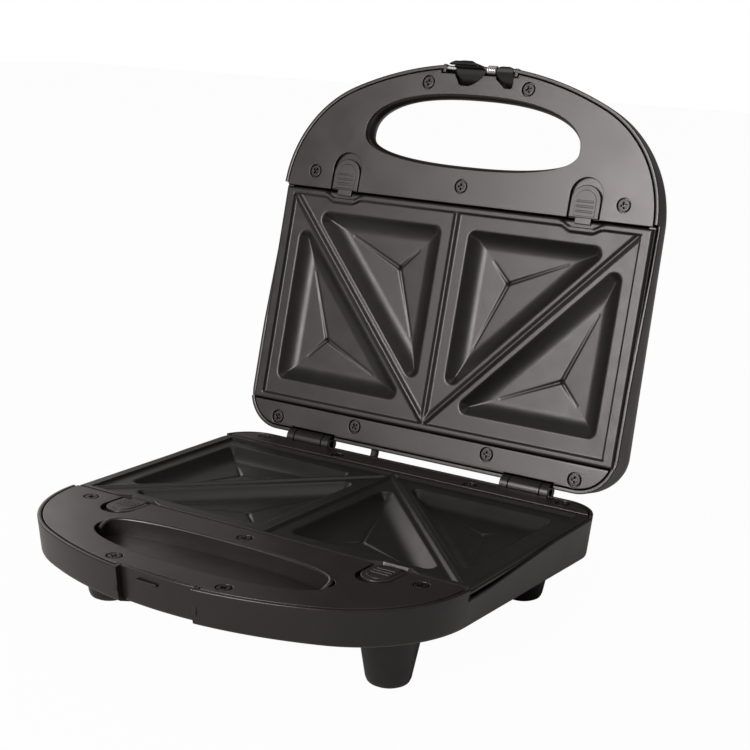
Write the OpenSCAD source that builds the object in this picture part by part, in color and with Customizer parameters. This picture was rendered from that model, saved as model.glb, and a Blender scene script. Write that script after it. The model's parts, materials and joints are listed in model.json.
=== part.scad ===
// Sandwich toaster for two sandwiches, opened.
// The two halves mirror each other in the parting plane. Shared shapes are drawn
// in the frame of one half: the hinge axis is the X axis, y is minus the distance
// forward of the axis, and z is the depth from the parting plane into the half.

/* [Case] */
// Half of the case width
half_w = 113; // [108:0.5:120]
// Distance from the hinge axis to the end of the straight sides
shoulder_v = 139.2; // [136:0.2:150]
// Distance from the end of the straight sides to the front of the case
front_reach = 74.8; // [72:0.2:86]
// Radius of the two big corners beside the handle
corner_r = 64; // [58:0.5:68]
// Distance from the hinge axis to the rear face
rear_v = 2.1; // [1.9:0.1:2.4]
// Radius of the rear corners
rear_r = 21; // [16:0.5:26]
// Wall of the mouldings
wall = 2.2; // [1.8:0.1:2.6]
// Gap between the two halves when closed
part_gap = 1; // [0.8:0.1:1.4]
// Angle that the lid opens to
open_angle = 103.2; // [95:0.2:108]
// Height of the hinge axis above the table
axis_z = 48; // [46:0.5:54]
// Depth of the lower case's straight wall
base_wall_depth = 17.1; // [16:0.1:19]
// Depth of the lower case's belly
base_belly_depth = 31; // [30:0.5:34]
// Share by which the lower case is deeper at the hinge than at the shoulder
base_rise = 0.2; // [0.15:0.01:0.25]
// Depth of the lid
lid_depth = 34; // [32:0.5:38]
// Share by which the lid is deeper at the hinge than at the shoulder
lid_rise = 0.3; // [0.25:0.01:0.35]

/* [Deck] */
// Width of the case rim around the deck
rim_w = 2; // [1.6:0.1:2.4]
// Gap between the rim and the deck
deck_gap = 0.5; // [0.3:0.1:0.8]
// Thickness of the deck
deck_t = 2.2; // [1.8:0.1:2.6]
// Distance from the hinge axis to the front of the hinge-side band
band_v = 17.2; // [16.8:0.1:18]
// Depth of the wells that hold the plates
well_depth = 17; // [15.5:0.5:17]
// Thickness of the well walls
well_t = 1.4; // [1.2:0.1:1.6]

/* [Grip] */
// Half of the width of the grip hole at the deck
grip_half_w = 64.5; // [60:0.5:66]
// Distance from the end of the straight sides to the widest line of the grip
grip_reach = 33.8; // [32.8:0.2:36.8]
// Grip hole from that line to the front
grip_front = 24.3; // [22:0.1:26]
// Grip hole from that line to the rear
grip_rear = 14.6; // [12.6:0.1:15]
// Step of the grip hole below the deck
grip_step = 2.5; // [2:0.1:3]
// How much nearer the front of the lower dish lies
dish_short = 2.8; // [2:0.1:4]
// Depth of the lower dish below its deck
dish_depth = 6.5; // [5:0.1:8]
// Height of the steam guard above the lower deck
guard_h = 2; // [1:0.1:2.2]
// Width of the steam guard
guard_w = 2.5; // [2:0.1:3]

/* [Plates] */
// Thickness of the plates
plate_t = 2.4; // [2:0.1:3]
// Depth of the flat land below the parting plane
land_z = 2.2; // [1.8:0.1:2.4]
// Depth of the pocket floors below the parting plane
pocket_z = 8; // [7:0.2:9]
// Width of the side rims
side_rim = 6; // [5:0.5:7]
// Half of the land between the pockets beside the centre ridge
centre_land = 8.5; // [7.5:0.5:10]
// Land between the handle rim and the pockets
front_land = 8.1; // [7:0.1:10]
// Land between the hinge rim and the pockets
rear_land = 9.3; // [8:0.1:11]
// Land between the side rims and the pockets
side_land = 6.7; // [6:0.1:9]
// Land between the diagonal ridges and the pockets
diagonal_land = 4.6; // [4:0.1:6.5]
// Rounding of the pocket corners
pocket_r = 4.3; // [3.5:0.1:5]
// Width of the pockets' sloping walls
pocket_wall = 10; // [8:0.5:12]
// Depth of the grooves in the pocket floors
groove_depth = 0.5; // [0.3:0.1:0.8]
// Width of the cutting ridges
ridge_w = 3.4; // [2.8:0.1:4]

/* [Heaters] */
// Radius of the heater tubes
heater_r = 3.25; // [2.8:0.05:3.3]
// Half of the heater loop's width
heater_half_w = 70; // [60:1:76]
// Bend radius of the heater loop
heater_bend = 12; // [10:1:16]
// Distance from the hinge axis to the rear run of the heater
heater_rear_v = 48; // [44:1:54]
// Distance from the hinge axis to the front run of the heater
heater_front_v = 110; // [100:1:112]
// Thickness of the reflector sheet
sheet_t = 0.8; // [0.6:0.1:1]

/* [Hinge] */
// Radius of the hinge pins
pin_r = 2; // [1.6:0.1:2.4]
// Radius of the hinge ears and knuckles
ear_r = 4.6; // [4.2:0.1:4.9]
// Distance from the middle of the case to the middle of a hinge
hinge_u = 67; // [64:0.5:69]
// Length of a lid knuckle
knuckle_l = 17.6; // [14:0.2:19]
// Thickness of a hinge ear
ear_t = 4.5; // [3.5:0.1:5]

/* [Clips] */
// Distance from the side of the case to the middle of a plate clip
clip_inset = 40.5; // [39.5:0.5:41]
// Half of the width of a plate clip
clip_half_w = 8.3; // [7:0.1:8.6]
// Travel of a plate clip towards the handle
clip_travel = 3.5; // [2.5:0.1:3.6]

/* [Latch] */
// Half of the width of the latch notch
notch_half_w = 20.5; // [20:0.1:22]
// Depth of the latch notch in the lower case
notch_depth = 3; // [2.5:0.1:3]
// Radius of the latch pin
latch_pin_r = 1.25; // [1:0.05:1.4]

/* [Feet] */
// Distance from the middle of the case to the feet
foot_u = 80; // [74:1:82]
// Distance from the hinge axis to the front feet
foot_front_v = 150; // [144:1:152]
// Distance from the hinge axis to the rear feet
foot_rear_v = 24; // [23:0.5:30]
// Radius of the feet where they leave the case
foot_top_r = 15; // [13:0.5:16]
// Radius of the feet at the table
foot_bottom_r = 9.8; // [9.5:0.1:12]
// Radius of the rubber pads
pad_r = 7.5; // [6:0.1:8]

/* [Fasteners] */
// Radius of the screw heads
screw_head_r = 3.3; // [2.8:0.1:3.6]
// Radius of the screw shanks
screw_r = 1.4; // [1.2:0.1:1.6]
// Radius of the screw bosses
boss_r = 3.4; // [3.2:0.1:4]

/* [Cord] */
// Distance from the middle of the case to the cord gland
gland_u = 20; // [16:0.5:26]
// Radius of the bore for the cord
cord_bore_r = 3.6; // [3.2:0.1:4]

/* [Hidden] */
$fn = 48;
HULL_FN = 20;
WIRE_FN = 10;
FIT = 0.3;
SLIDE = 0.2;
RUN = 0.05;
THIN = 0.01;

deck_z = part_gap / 2;
deck_back = deck_z + deck_t;
deck_inset = rim_w + deck_gap;
// The front arc of the outline is tangent to both corner arcs.
corner_u = half_w - corner_r;
front_v = shoulder_v + front_reach;
front_r = (pow(corner_u, 2) + pow(front_reach, 2) - pow(corner_r, 2)) / (2 * (front_reach - corner_r));
front_c = front_v - front_r;
join_a = atan2(corner_u, shoulder_v - front_c);
// Seam between the plates and the decks
seam_v = shoulder_v + 0.4;
grip_v = shoulder_v + grip_reach;
plate_front_v = seam_v - 1;
plate_rear_v = band_v + 0.5;
plate_half_w = half_w - rim_w;
ARC_STEPS = 12;

// Profiles of the two covers: [depth, inset from the outline]
base_profile = [
    [deck_z, 0],
    [base_wall_depth, 1.8],
    [base_wall_depth + 2, 3.8],
    [base_belly_depth, 45]
];
lid_profile = [
    [deck_z, 0],
    [lid_depth * 0.2, 0.1],
    [lid_depth * 0.38, 0.9],
    [lid_depth * 0.56, 2.8],
    [lid_depth * 0.7, 5.5],
    [lid_depth * 0.84, 10],
    [lid_depth * 0.94, 19],
    [lid_depth, 34]
];

// Hinge line at rest: the case stands centred between the front and the lid's back.
lid_back_v = grip_v + 7;
lid_back = -lid_back_v * cos(open_angle)
    + lid_depth * (1 - lid_rise * (lid_back_v - shoulder_v) / shoulder_v) * sin(open_angle);
hinge_y = (front_v - lid_back) / 2;

// ---- Placing ----

module in_base() {
    translate([0, hinge_y, axis_z])
        mirror([0, 0, 1])
            children();
}

module in_lid() {
    translate([0, hinge_y, axis_z])
        rotate([-open_angle, 0, 0])
            children();
}

module both_sides() {
    for (side = [0, 1])
        mirror([side, 0, 0])
            children();
}

// ---- Outlines ----

function arc(c, r, a0, a1) = [
    for (i = [0:ARC_STEPS])
        let (a = a0 + (a1 - a0) * i / ARC_STEPS)
            [c[0] + r * sin(a), -(c[1] + r * cos(a))]
];

// Outline of the case, inset by d. Angles count from the front.
function outline(d) =
    let (r = max(rear_r - d, 2), u = half_w - d - r, v = rear_v + d + r)
        concat(
            arc([0, front_c], front_r - d, -join_a, join_a),
            arc([corner_u, shoulder_v], corner_r - d, join_a, 90),
            arc([u, v], r, 90, 180),
            arc([-u, v], r, 180, 270),
            arc([-corner_u, shoulder_v], corner_r - d, 270, 360 - join_a)
        );

// Rounded oval about the grip, inset by d and lengthened towards both sides
GRIP_POWER = 2.35;
function oval(d, short = 0, widen = 0) = [
    for (a = [0:5:355])
        let (
            s = pow(abs(sin(a)), 2 / GRIP_POWER),
            c = pow(abs(cos(a)), 2 / GRIP_POWER),
            reach = cos(a) > 0 ? grip_front - short : grip_rear
        )
            [sign(sin(a)) * s * (grip_half_w + widen - d), -(grip_v + sign(cos(a)) * c * (reach - d))]
];

module slab(points, z0, z1) {
    translate([0, 0, z0])
        linear_extrude(z1 - z0)
            polygon(points);
}

// Box between two corners in half-width, distance and depth
module span(u0, u1, v0, v1, z0, z1) {
    translate([u0, -v1, z0])
        cube([u1 - u0, v1 - v0, z1 - z0]);
}

module post(u, v, r, z0, z1) {
    translate([u, -v, z0])
        cylinder(r = r, h = z1 - z0);
}

// Solid that fills a cover down to a profile, deeper towards the hinge
module filled(profile, rise) {
    hull()
        for (p = profile)
            translate([0, -shoulder_v, p[0]])
                rotate([atan(rise * p[0] / shoulder_v), 0, 0])
                    translate([0, shoulder_v, 0])
                        linear_extrude(THIN)
                            polygon(outline(p[1]));
}

// The profile moved inwards by the wall, and out through the parting plane
function inner_point(p, i) =
    let (
        a = p[max(i - 1, 0)],
        b = i + 1 < len(p) ? p[i + 1] : [p[i][0], p[i][1] + 20],
        t = (b - a) / norm(b - a)
    )
        [p[i][0] - wall * t[1], p[i][1] + wall * t[0]];
function inner(p) = concat(
    [[-1, wall], [deck_back + SLIDE, wall]],
    [for (i = [1:len(p) - 1]) inner_point(p, i)]
);

// Depth of a cover's outer face where the outline is inset by a profile row
function depth_at(depth, rise, v) = depth * (1 + rise * (shoulder_v - v) / shoulder_v);

// ---- Places of the repeated features ----

front_screws = [[30.1, front_v - 11.3], [half_w - 19.6, shoulder_v + 9.4]];
middle_screw = [0, shoulder_v + 9.7];
band_screws = [[half_w - 21, 9], [41, 12.3]];
screw_places = concat(
    [middle_screw],
    [for (p = concat(front_screws, band_screws)) p],
    [for (p = concat(front_screws, band_screws)) [-p[0], p[1]]]
);
HEAD_DEPTH = 1.9;
SCREW_END = 13;

// ---- Latch places ----

latch_v = front_v - 2.6;
latch_z = 2.4;
latch_top = 14;
HOOK_Z = -9.5;
// Left and right edges of the hooked claw and of the plain lobe
claws = [[-14.5, 4], [9.5, 19.8]];
hook_claw = claws[0];
// Middle and half width of each claw's rounded foot
claw_feet = [[-7.5, 4.2], [16.4, 3.2]];
claw_v = front_v - 11;
lever_v0 = front_v - 2.5;
lever_v1 = front_v;

// ---- Hinge ----

ear_in = hinge_u - knuckle_l / 2 - FIT - 0.1 - ear_t;
ear_out = hinge_u + knuckle_l / 2 + FIT + 0.1;
ear_notch = ear_r + 0.7;
EAR_DEPTH = 12;

// Web of an ear or knuckle, from its round end down the rear wall
module hinge_web(u0, width) {
    translate([u0, 0, 0])
        rotate([90, 0, 90])
            linear_extrude(width)
                polygon([
                    [-rear_v - wall, 0],
                    [ear_r, 0],
                    [ear_r, 1],
                    [-rear_v + 0.1, EAR_DEPTH],
                    [-rear_v - wall, EAR_DEPTH]
                ]);
    translate([u0, 0, 0])
        rotate([0, 90, 0])
            cylinder(r = ear_r, h = width);
}

module hinge_bore(r) {
    translate([ear_in - 1, 0, 0])
        rotate([0, 90, 0])
            cylinder(r = r, h = ear_out + ear_t - ear_in + 2);
}

module hinge_clearance() {
    translate([ear_in - 0.5, 0, 0])
        rotate([0, 90, 0])
            cylinder(r = ear_notch, h = ear_out + ear_t - ear_in + 1);
}

// ---- Covers ----

SIDE_RELIEF = 4.05;
LEAD_R = 2.2;
LEAD_DEPTH = 8;
lead_u = -30;

// Side walls are cut down beside the plate so that the plate edge shows.
module side_cut() {
    translate([-half_w - 1, 0, 0])
        rotate([90, 0, 90])
            linear_extrude(2 * half_w + 2)
                polygon([
                    [-plate_rear_v, 0],
                    [-plate_rear_v, 1.7],
                    [-shoulder_v * 0.43, 1.8],
                    [-shoulder_v * 0.85, 4.9],
                    [-seam_v - 1.2, 5.1],
                    [-seam_v - 1.2, 0]
                ]);
    span(-half_w + 1.3, half_w - 1.3, plate_rear_v, seam_v + 1.2, -1, SIDE_RELIEF);
}

module cover_bosses(depth) {
    for (p = screw_places)
        post(p[0], p[1], boss_r, deck_back + SLIDE, depth);
}

module cover_pilots() {
    for (p = screw_places)
        post(p[0], p[1], screw_r + 0.1, 0, SCREW_END + 1);
}

module base_cover() {
    color("#363331")
        in_base()
            difference() {
                union() {
                    difference() {
                        filled(base_profile, base_rise);
                        difference() {
                            filled(inner(base_profile), base_rise);
                            span(-notch_half_w - wall, notch_half_w + wall,
                                front_v - notch_depth - wall, front_v + 1, -2, base_belly_depth);
                        }
                        hinge_both_clearance();
                    }
                    intersection() {
                        filled(base_profile, base_rise);
                        union() {
                            cover_bosses(base_belly_depth);
                            foot_bosses();
                        }
                    }
                    both_sides()
                        for (u = [ear_in, ear_out])
                            hinge_web(u, ear_t);
                }
                cover_pilots();
                foot_pilots();
                side_cut();
                both_sides()
                    hinge_bore(pin_r + 0.02);
                span(-notch_half_w, notch_half_w, front_v - notch_depth, front_v + 1, -1, base_belly_depth);
                span(hook_claw[0] - 0.8, hook_claw[1] + 0.8, front_v - notch_depth - wall - 1, front_v,
                    7.2, 11);
                translate([lead_u, 0, LEAD_DEPTH])
                    rotate([90, 0, 0])
                        cylinder(r = LEAD_R + 0.9, h = 12);
                translate([gland_u, 0, GLAND_DEPTH])
                    rotate([90, 0, 0])
                        cylinder(r = gland_neck_r + RUN, h = 12);
            }
}

module hinge_both_clearance() {
    both_sides()
        hinge_clearance();
}

// Flare of the grip hole towards the outside of the lid: [depth, growth sideways, growth]
FLARE_Z = 3.2;
flare_rows = [
    [FLARE_Z, 0, 0],
    [8, 0.1, 1],
    [13, 1, 2.4],
    [18, 3.2, 3.8],
    [24, 6, 6],
    [lid_depth + 1, 13, 11]
];

// Place of a point in a stack of rings of n points
function at(n, ring, i) = ring * n + i % n;

// Body of the grip hole from a depth outwards: rings of the oval, joined one to the next
module grip_hole(d, z0) {
    rows = concat([[z0, 0, 0]], flare_rows);
    rings = [for (row = rows) [for (p = oval(d - row[2], 0, row[1])) [p[0], p[1], row[0]]]];
    n = len(rings[0]);
    last = len(rings) - 1;
    polyhedron(
        points = [for (ring = rings) for (p = ring) p],
        faces = concat(
            [[for (i = [0:n - 1]) at(n, 0, i)]],
            [[for (i = [n - 1:-1:0]) at(n, last, i)]],
            [for (k = [0:last - 1], i = [0:n - 1]) [at(n, k, i), at(n, k + 1, i), at(n, k + 1, i + 1)]],
            [for (k = [0:last - 1], i = [0:n - 1]) [at(n, k, i), at(n, k + 1, i + 1), at(n, k, i + 1)]]
        )
    );
}

// Chamber that closes the lid behind the latch and carries the ends of its pin
CHAMBER_WALL = 2;
CHAMBER_BACK = 1.2;
chamber_v = claw_v - 1.7;
module latch_chamber(out, back, top) {
    span(-notch_half_w - out, notch_half_w + out, chamber_v - back, front_v - 0.5, deck_back + SLIDE, top);
}
module pin_bearings() {
    span(-notch_half_w - CHAMBER_WALL, notch_half_w + CHAMBER_WALL, latch_v - 2.8, front_v - 0.5,
        deck_z + 0.1, deck_back + 1);
}

module lid_cover() {
    color("#3a3735")
        in_lid()
            difference() {
                union() {
                    difference() {
                        filled(lid_profile, lid_rise);
                        difference() {
                            filled(inner(lid_profile), lid_rise);
                            grip_hole(grip_step - wall, deck_back + SLIDE);
                        }
                        hinge_both_clearance();
                    }
                    intersection() {
                        filled(lid_profile, lid_rise);
                        union() {
                            cover_bosses(lid_depth);
                            latch_chamber(CHAMBER_WALL, CHAMBER_BACK, latch_top + 3.4);
                            pin_bearings();
                        }
                    }
                    both_sides()
                        hinge_web(hinge_u - knuckle_l / 2, knuckle_l);
                    both_sides()
                        lid_stop();
                }
                grip_hole(grip_step, 0);
                cover_pilots();
                side_cut();
                both_sides()
                    hinge_bore(pin_r + RUN);
                latch_chamber(0, 0, latch_top + 2);
                span(-notch_half_w, notch_half_w, front_v - 8, front_v + 1, -1, latch_top + 2);
                rod([-notch_half_w - 2, -latch_v, latch_z], [notch_half_w + 2, -latch_v, latch_z],
                    latch_pin_r + 0.02);
                both_sides()
                    post(LENS_U, LENS_V, LENS_R + RUN, lid_depth - 6, lid_depth + 8);
                translate([lead_u, 0, LEAD_DEPTH])
                    rotate([90, 0, 0])
                        cylinder(r = LEAD_R + 0.9, h = 12);
            }
}

// Toe that meets the lower case's rear wall when the lid is fully open
module lid_stop() {
    rotate([open_angle, 0, 0])
        translate([hinge_u - knuckle_l / 2 + SLIDE, -rear_v - SLIDE, -ear_notch - 2.3])
            cube([knuckle_l - 2 * SLIDE, ear_r, ear_notch + 2.3 - pin_r - 0.6]);
}

// ---- Frames ----

clip_u = half_w - clip_inset;
clip_slot_half_w = clip_half_w + 0.7;
clip_apex_v = seam_v + 17.4;
CLIP_Z0 = 0.7;
CLIP_Z1 = 3.2;
LINK_T = 0.6;
LINK_Z = 5;

module frame_body() {
    difference() {
        union() {
            intersection() {
                slab(outline(deck_inset), deck_z, deck_back);
                union() {
                    span(-half_w, half_w, seam_v, front_v, 0, deck_back);
                    span(-half_w, half_w, rear_v, band_v, 0, deck_back);
                }
            }
            both_sides()
                span(-THIN, half_w - deck_inset - 3, seam_v, seam_v + well_t + 0.4, deck_z, well_depth);
            both_sides()
                span(-THIN, half_w - 8, band_v - well_t, band_v, deck_z, well_depth);
            both_sides() {
                span(rail_in, rail_in + 1.2, rear_v + rear_r + 1, seam_v + well_t, RAIL_Z, 12);
                span(rail_in, half_w - 1.4, plate_rear_v + FIT, seam_v, RAIL_Z, RAIL_Z + 1.2);
                span(half_w - 9, rail_in + LINK_T, band_v - well_t, band_v, RAIL_Z, LINK_Z);
                span(rail_in, rail_in + LINK_T, band_v - well_t, rear_v + rear_r + 1 + THIN, RAIL_Z, LINK_Z);
            }
            both_sides()
                span(clip_u - 4, clip_u + 4, clip_apex_v + 3.4, clip_apex_v + 5.4, deck_z, 9);
        }
        both_sides()
            hinge_clearance();
        both_sides() {
            span(clip_u - clip_slot_half_w, clip_u + clip_slot_half_w, seam_v - 1,
                clip_apex_v + clip_travel + 0.2 - clip_slot_half_w, -1, CLIP_Z1 + SLIDE);
            post(clip_u, clip_apex_v + clip_travel + 0.2 - clip_slot_half_w, clip_slot_half_w, -1,
                CLIP_Z1 + SLIDE);
        }
        for (p = screw_places)
            translate([p[0], -p[1], deck_z]) {
                translate([0, 0, -THIN])
                    cylinder(r1 = screw_head_r + 0.12, r2 = screw_r + 0.12, h = HEAD_DEPTH + 0.1);
                cylinder(r = screw_r + 0.12, h = deck_t + 1);
            }
    }
}

RAIL_Z = 2.6;
rail_in = plate_half_w - 3.1;

module base_frame() {
    dish_wall = 1.8;
    color("#4a4744")
        in_base() {
            difference() {
                union() {
                    frame_body();
                    slab(oval(-dish_wall, dish_short), deck_z + THIN, deck_z + dish_depth + dish_wall);
                }
                slab(oval(0, dish_short), 0, deck_z + dish_depth);
                span(-notch_half_w - wall - deck_gap, notch_half_w + wall + deck_gap,
                    front_v - notch_depth - wall - deck_gap, front_v, 0, deck_back + 1);
            }
            difference() {
                slab(oval(0), deck_z - guard_h, deck_z + dish_depth + 0.1);
                slab(oval(guard_w), deck_z - guard_h - 1, deck_z + dish_depth + 1);
                span(-half_w, half_w, grip_v - 3, front_v, -20, 20);
            }
        }
}

module lid_frame() {
    color("#777370")
        in_lid()
            difference() {
                frame_body();
                slab(oval(-0.2), 0, deck_back + 1);
                span(-notch_half_w - 2.6, notch_half_w + 2.6, latch_v - 3.2, front_v, 0, deck_back + 1);
                for (c = claws)
                    span(c[0] - 0.4, c[1] + 0.4, claw_v - 0.9, front_v, 0, deck_back + 1);
            }
}

// ---- Plates ----

rim_front_v = plate_front_v - 3.6;
rim_rear_v = plate_rear_v + 3.6;
rim_u = plate_half_w - side_rim;
RIM_Z = 0.7;
ridge_foot = [0, rim_rear_v + 0.7];
ridge_end = [rim_u - 1.5, rim_front_v - 1];
diagonal = (ridge_end[1] - ridge_foot[1]) / ridge_end[0];
diagonal_rise = diagonal_land * sqrt(1 + diagonal * diagonal);

// Corners of the two pocket shapes, right angle first
pocket_front = rim_front_v - front_land;
pocket_rear = rim_rear_v + rear_land;
pocket_side = rim_u - side_land;
handle_pocket = [
    [centre_land, pocket_front],
    [(pocket_front - ridge_foot[1] - diagonal_rise) / diagonal, pocket_front],
    [centre_land, ridge_foot[1] + diagonal * centre_land + diagonal_rise]
];
hinge_pocket = [
    [pocket_side, pocket_rear],
    [pocket_side, ridge_foot[1] + diagonal * pocket_side - diagonal_rise],
    [(pocket_rear - ridge_foot[1] + diagonal_rise) / diagonal, pocket_rear]
];

// Centre and radius of a triangle's inscribed circle
function in_centre(t) =
    let (a = norm(t[1] - t[2]), b = norm(t[2] - t[0]), c = norm(t[0] - t[1]))
        (a * t[0] + b * t[1] + c * t[2]) / (a + b + c);
function in_radius(t) =
    let (a = norm(t[1] - t[2]), b = norm(t[2] - t[0]), c = norm(t[0] - t[1]))
        b * c / (a + b + c);

// Triangle moved inwards by d, and its layer with corners rounded by r
module pocket_layer(t, d, r, z) {
    c = in_centre(t);
    k = (in_radius(t) - d - r) / in_radius(t);
    for (p = t)
        translate([c[0] + k * (p[0] - c[0]), -(c[1] + k * (p[1] - c[1])), z])
            cylinder(r = r, h = THIN, $fn = HULL_FN);
}

// Wall of a pocket: [share of its width, share of its depth, share of its corner radius]
wall_rows = [
    [0, 0, 1],
    [0.3, 0.53, 0.95],
    [0.62, 0.86, 0.8],
    [1, 1, 0.55]
];

module pocket(t, grow, lift, floor_z) {
    top_z = land_z + lift;
    hull()
        for (row = wall_rows)
            pocket_layer(t, row[0] * pocket_wall - grow, row[2] * pocket_r,
                top_z + row[1] * (floor_z - THIN - top_z));
}

// Grooves from the middle of a pocket floor towards its corners, right angle first
GROOVE_REACH = [0.42, 0.56, 0.56];
GROOVE_R = 0.8;
module grooves(t) {
    c = in_centre(t);
    for (i = [0:2]) {
        end = c + GROOVE_REACH[i] * (t[i] - c);
        hull() {
            post(c[0], c[1], GROOVE_R, pocket_z - 0.1, pocket_z + groove_depth);
            post(end[0], end[1], GROOVE_R / 3, pocket_z - 0.8, pocket_z - 0.1);
        }
    }
}

module ridge(a, b) {
    hull()
        for (p = [a, b]) {
            post(p[0], p[1], ridge_w / 2, land_z, land_z + THIN);
            post(p[0], p[1], 0.5, land_z - 1.3, land_z);
        }
}

module plate() {
    difference() {
        union() {
            span(-rail_in + FIT, rail_in - FIT, plate_rear_v, plate_front_v, land_z, land_z + plate_t);
            both_sides()
                span(rim_u, plate_half_w, plate_rear_v, plate_front_v, RIM_Z, RAIL_Z - SLIDE);
            span(-rim_u, rim_u, rim_front_v, plate_front_v, RIM_Z, land_z + THIN);
            span(-rim_u, rim_u, plate_rear_v, rim_rear_v, RIM_Z, land_z + THIN);
            ridge([0, rim_front_v], ridge_foot);
            both_sides() {
                ridge(ridge_end, ridge_foot);
                pocket(handle_pocket, plate_t - 0.4, plate_t, pocket_z + plate_t - 0.2);
                pocket(hinge_pocket, plate_t - 0.4, plate_t, pocket_z + plate_t - 0.2);
            }
        }
        both_sides() {
            pocket(handle_pocket, 0, -0.1, pocket_z);
            pocket(hinge_pocket, 0, -0.1, pocket_z);
            grooves(handle_pocket);
            grooves(hinge_pocket);
            span(clip_u - clip_half_w - 0.5, clip_u + clip_half_w + 0.5, plate_front_v - 4,
                plate_front_v + 1, -1, CLIP_Z1 + SLIDE);
        }
    }
}

module base_plate() {
    color("#33302e")
        in_base()
            plate();
}

module lid_plate() {
    color("#55514f")
        in_lid()
            plate();
}

// ---- Reflectors and heaters ----

heater_z = pocket_z + plate_t + FIT + heater_r;
tray_floor = heater_z + heater_r + FIT;
TRAY_TOP = 5.2;
TRAY_SLOPE = 17;

module tray(grow, z0, z1) {
    hull() {
        span(-rail_in + 1 - grow, rail_in - 1 + grow, band_v + 1 - grow, seam_v - 1 + grow, z0, z0 + THIN);
        span(-rail_in + 1 + TRAY_SLOPE - grow, rail_in - 1 - TRAY_SLOPE + grow,
            band_v + 10 - grow, seam_v - 10 + grow, z1, z1 + THIN);
    }
}

module reflector() {
    difference() {
        tray(0, TRAY_TOP, tray_floor + sheet_t);
        tray(-sheet_t, TRAY_TOP - THIN, tray_floor);
        both_sides()
            post(WIRE_U, heater_rear_v, WIRE_R + SLIDE, tray_floor - 1, tray_floor + 2);
    }
}

module rod(a, b, r) {
    d = b - a;
    translate(a)
        rotate([0, acos(d[2] / norm(d)), atan2(d[1], d[0])])
            cylinder(r = r, h = norm(d));
}

// Thin wire with round ends through several points
module cable(points, r) {
    for (i = [1:len(points) - 1])
        rod(points[i - 1], points[i], r, $fn = WIRE_FN);
    for (p = points)
        translate(p)
            sphere(r = r, $fn = WIRE_FN);
}

HEATER_END = 18;

module quarter_bend(u, v, turn) {
    translate([u, -v, heater_z])
        rotate([0, 0, turn])
            rotate_extrude(angle = 90)
                translate([heater_bend, 0])
                    circle(r = heater_r);
}

module heater() {
    bend_u = heater_half_w - heater_bend;
    near_v = heater_rear_v + heater_bend;
    far_v = heater_front_v - heater_bend;
    rod([-bend_u, -heater_front_v, heater_z], [bend_u, -heater_front_v, heater_z], heater_r);
    both_sides() {
        rod([heater_half_w, -near_v, heater_z], [heater_half_w, -far_v, heater_z], heater_r);
        rod([HEATER_END, -heater_rear_v, heater_z], [bend_u, -heater_rear_v, heater_z], heater_r);
        quarter_bend(bend_u, near_v, 0);
        quarter_bend(bend_u, far_v, -90);
    }
}

BUSH_IN = 10;

module heater_bushes() {
    both_sides()
        difference() {
            rod([BUSH_IN, -heater_rear_v, heater_z], [HEATER_END + 4, -heater_rear_v, heater_z],
                heater_r + FIT / 2 + 0.1);
            rod([HEATER_END - 0.1, -heater_rear_v, heater_z], [HEATER_END + 5, -heater_rear_v, heater_z],
                heater_r + RUN);
        }
}

SADDLE_V = 79;

// Straps that hold the heater's side runs to the reflector
module heater_saddles() {
    both_sides()
        for (v = [SADDLE_V - 10, SADDLE_V + 10])
            difference() {
                span(heater_half_w - 6, heater_half_w + 6, v - 3, v + 3,
                    heater_z - heater_r - FIT / 2, tray_floor - RUN);
                rod([heater_half_w, -v - 5, heater_z], [heater_half_w, -v + 5, heater_z], heater_r + RUN);
            }
}

WIRE_R = 1.1;
WIRE_U = 5;

module base_reflector() {
    color("#b9bab8")
        in_base()
            reflector();
}

module base_heater() {
    color("#8d8a86")
        in_base()
            heater();
}

module base_heater_bushes() {
    color("#e8e2d4")
        in_base()
            heater_bushes();
}

module base_heater_saddles() {
    color("#9c9d9b")
        in_base()
            heater_saddles();
}

module lid_reflector() {
    color("#b9bab8")
        in_lid()
            reflector();
}

module lid_heater() {
    color("#8d8a86")
        in_lid()
            heater();
}

module lid_heater_bushes() {
    color("#e8e2d4")
        in_lid()
            heater_bushes();
}

module lid_heater_saddles() {
    color("#9c9d9b")
        in_lid()
            heater_saddles();
}

// ---- Electrics ----

under_tray = tray_floor + sheet_t;
wire_z = under_tray + WIRE_R + FIT;
BLOCK_V0 = 7;
BLOCK_V1 = 14.6;
BLOCK_Z0 = 8;
BLOCK_Z1 = 19.5;

module terminal_block() {
    color("#d9d4c6")
        in_base()
            difference() {
                span(-14, 8, BLOCK_V0, BLOCK_V1, BLOCK_Z0, BLOCK_Z1);
                for (u = [-10, -3, 4])
                    post(u, (BLOCK_V0 + BLOCK_V1) / 2, 1.6, BLOCK_Z0 - 1, BLOCK_Z0 + 5);
            }
}

module wires() {
    both_sides() {
        cable([
            [BUSH_IN - WIRE_R, -heater_rear_v, heater_z],
            [WIRE_U, -heater_rear_v, heater_z],
            [WIRE_U, -heater_rear_v, wire_z],
            [WIRE_U, -band_v - 8, wire_z],
            [WIRE_U, -BLOCK_V1 - WIRE_R - 0.4, BLOCK_Z1 - 0.4]
        ], WIRE_R);
    }
}

module base_wiring() {
    color("#c9c4b8")
        in_base()
            wires();
}

module lid_wiring() {
    color("#c9c4b8")
        in_lid()
            wires();
}

module thermostat() {
    v = SADDLE_V;
    color("#7d6a4a")
        in_base() {
            post(20, v, 8, under_tray + SLIDE, under_tray + 5);
            post(20, v, 3, under_tray + 4.9, under_tray + 6.2);
            span(8, 32, v - 2.5, v + 2.5, under_tray + SLIDE, under_tray + 1.2);
        }
}

module thermal_fuse() {
    color("#d8d0b8")
        in_base() {
            rod([-34, -SADDLE_V, under_tray + 2.2], [-18, -SADDLE_V, under_tray + 2.2], 2);
            rod([-40, -SADDLE_V, under_tray + 2.2], [-12, -SADDLE_V, under_tray + 2.2], 0.6);
        }
}

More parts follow.
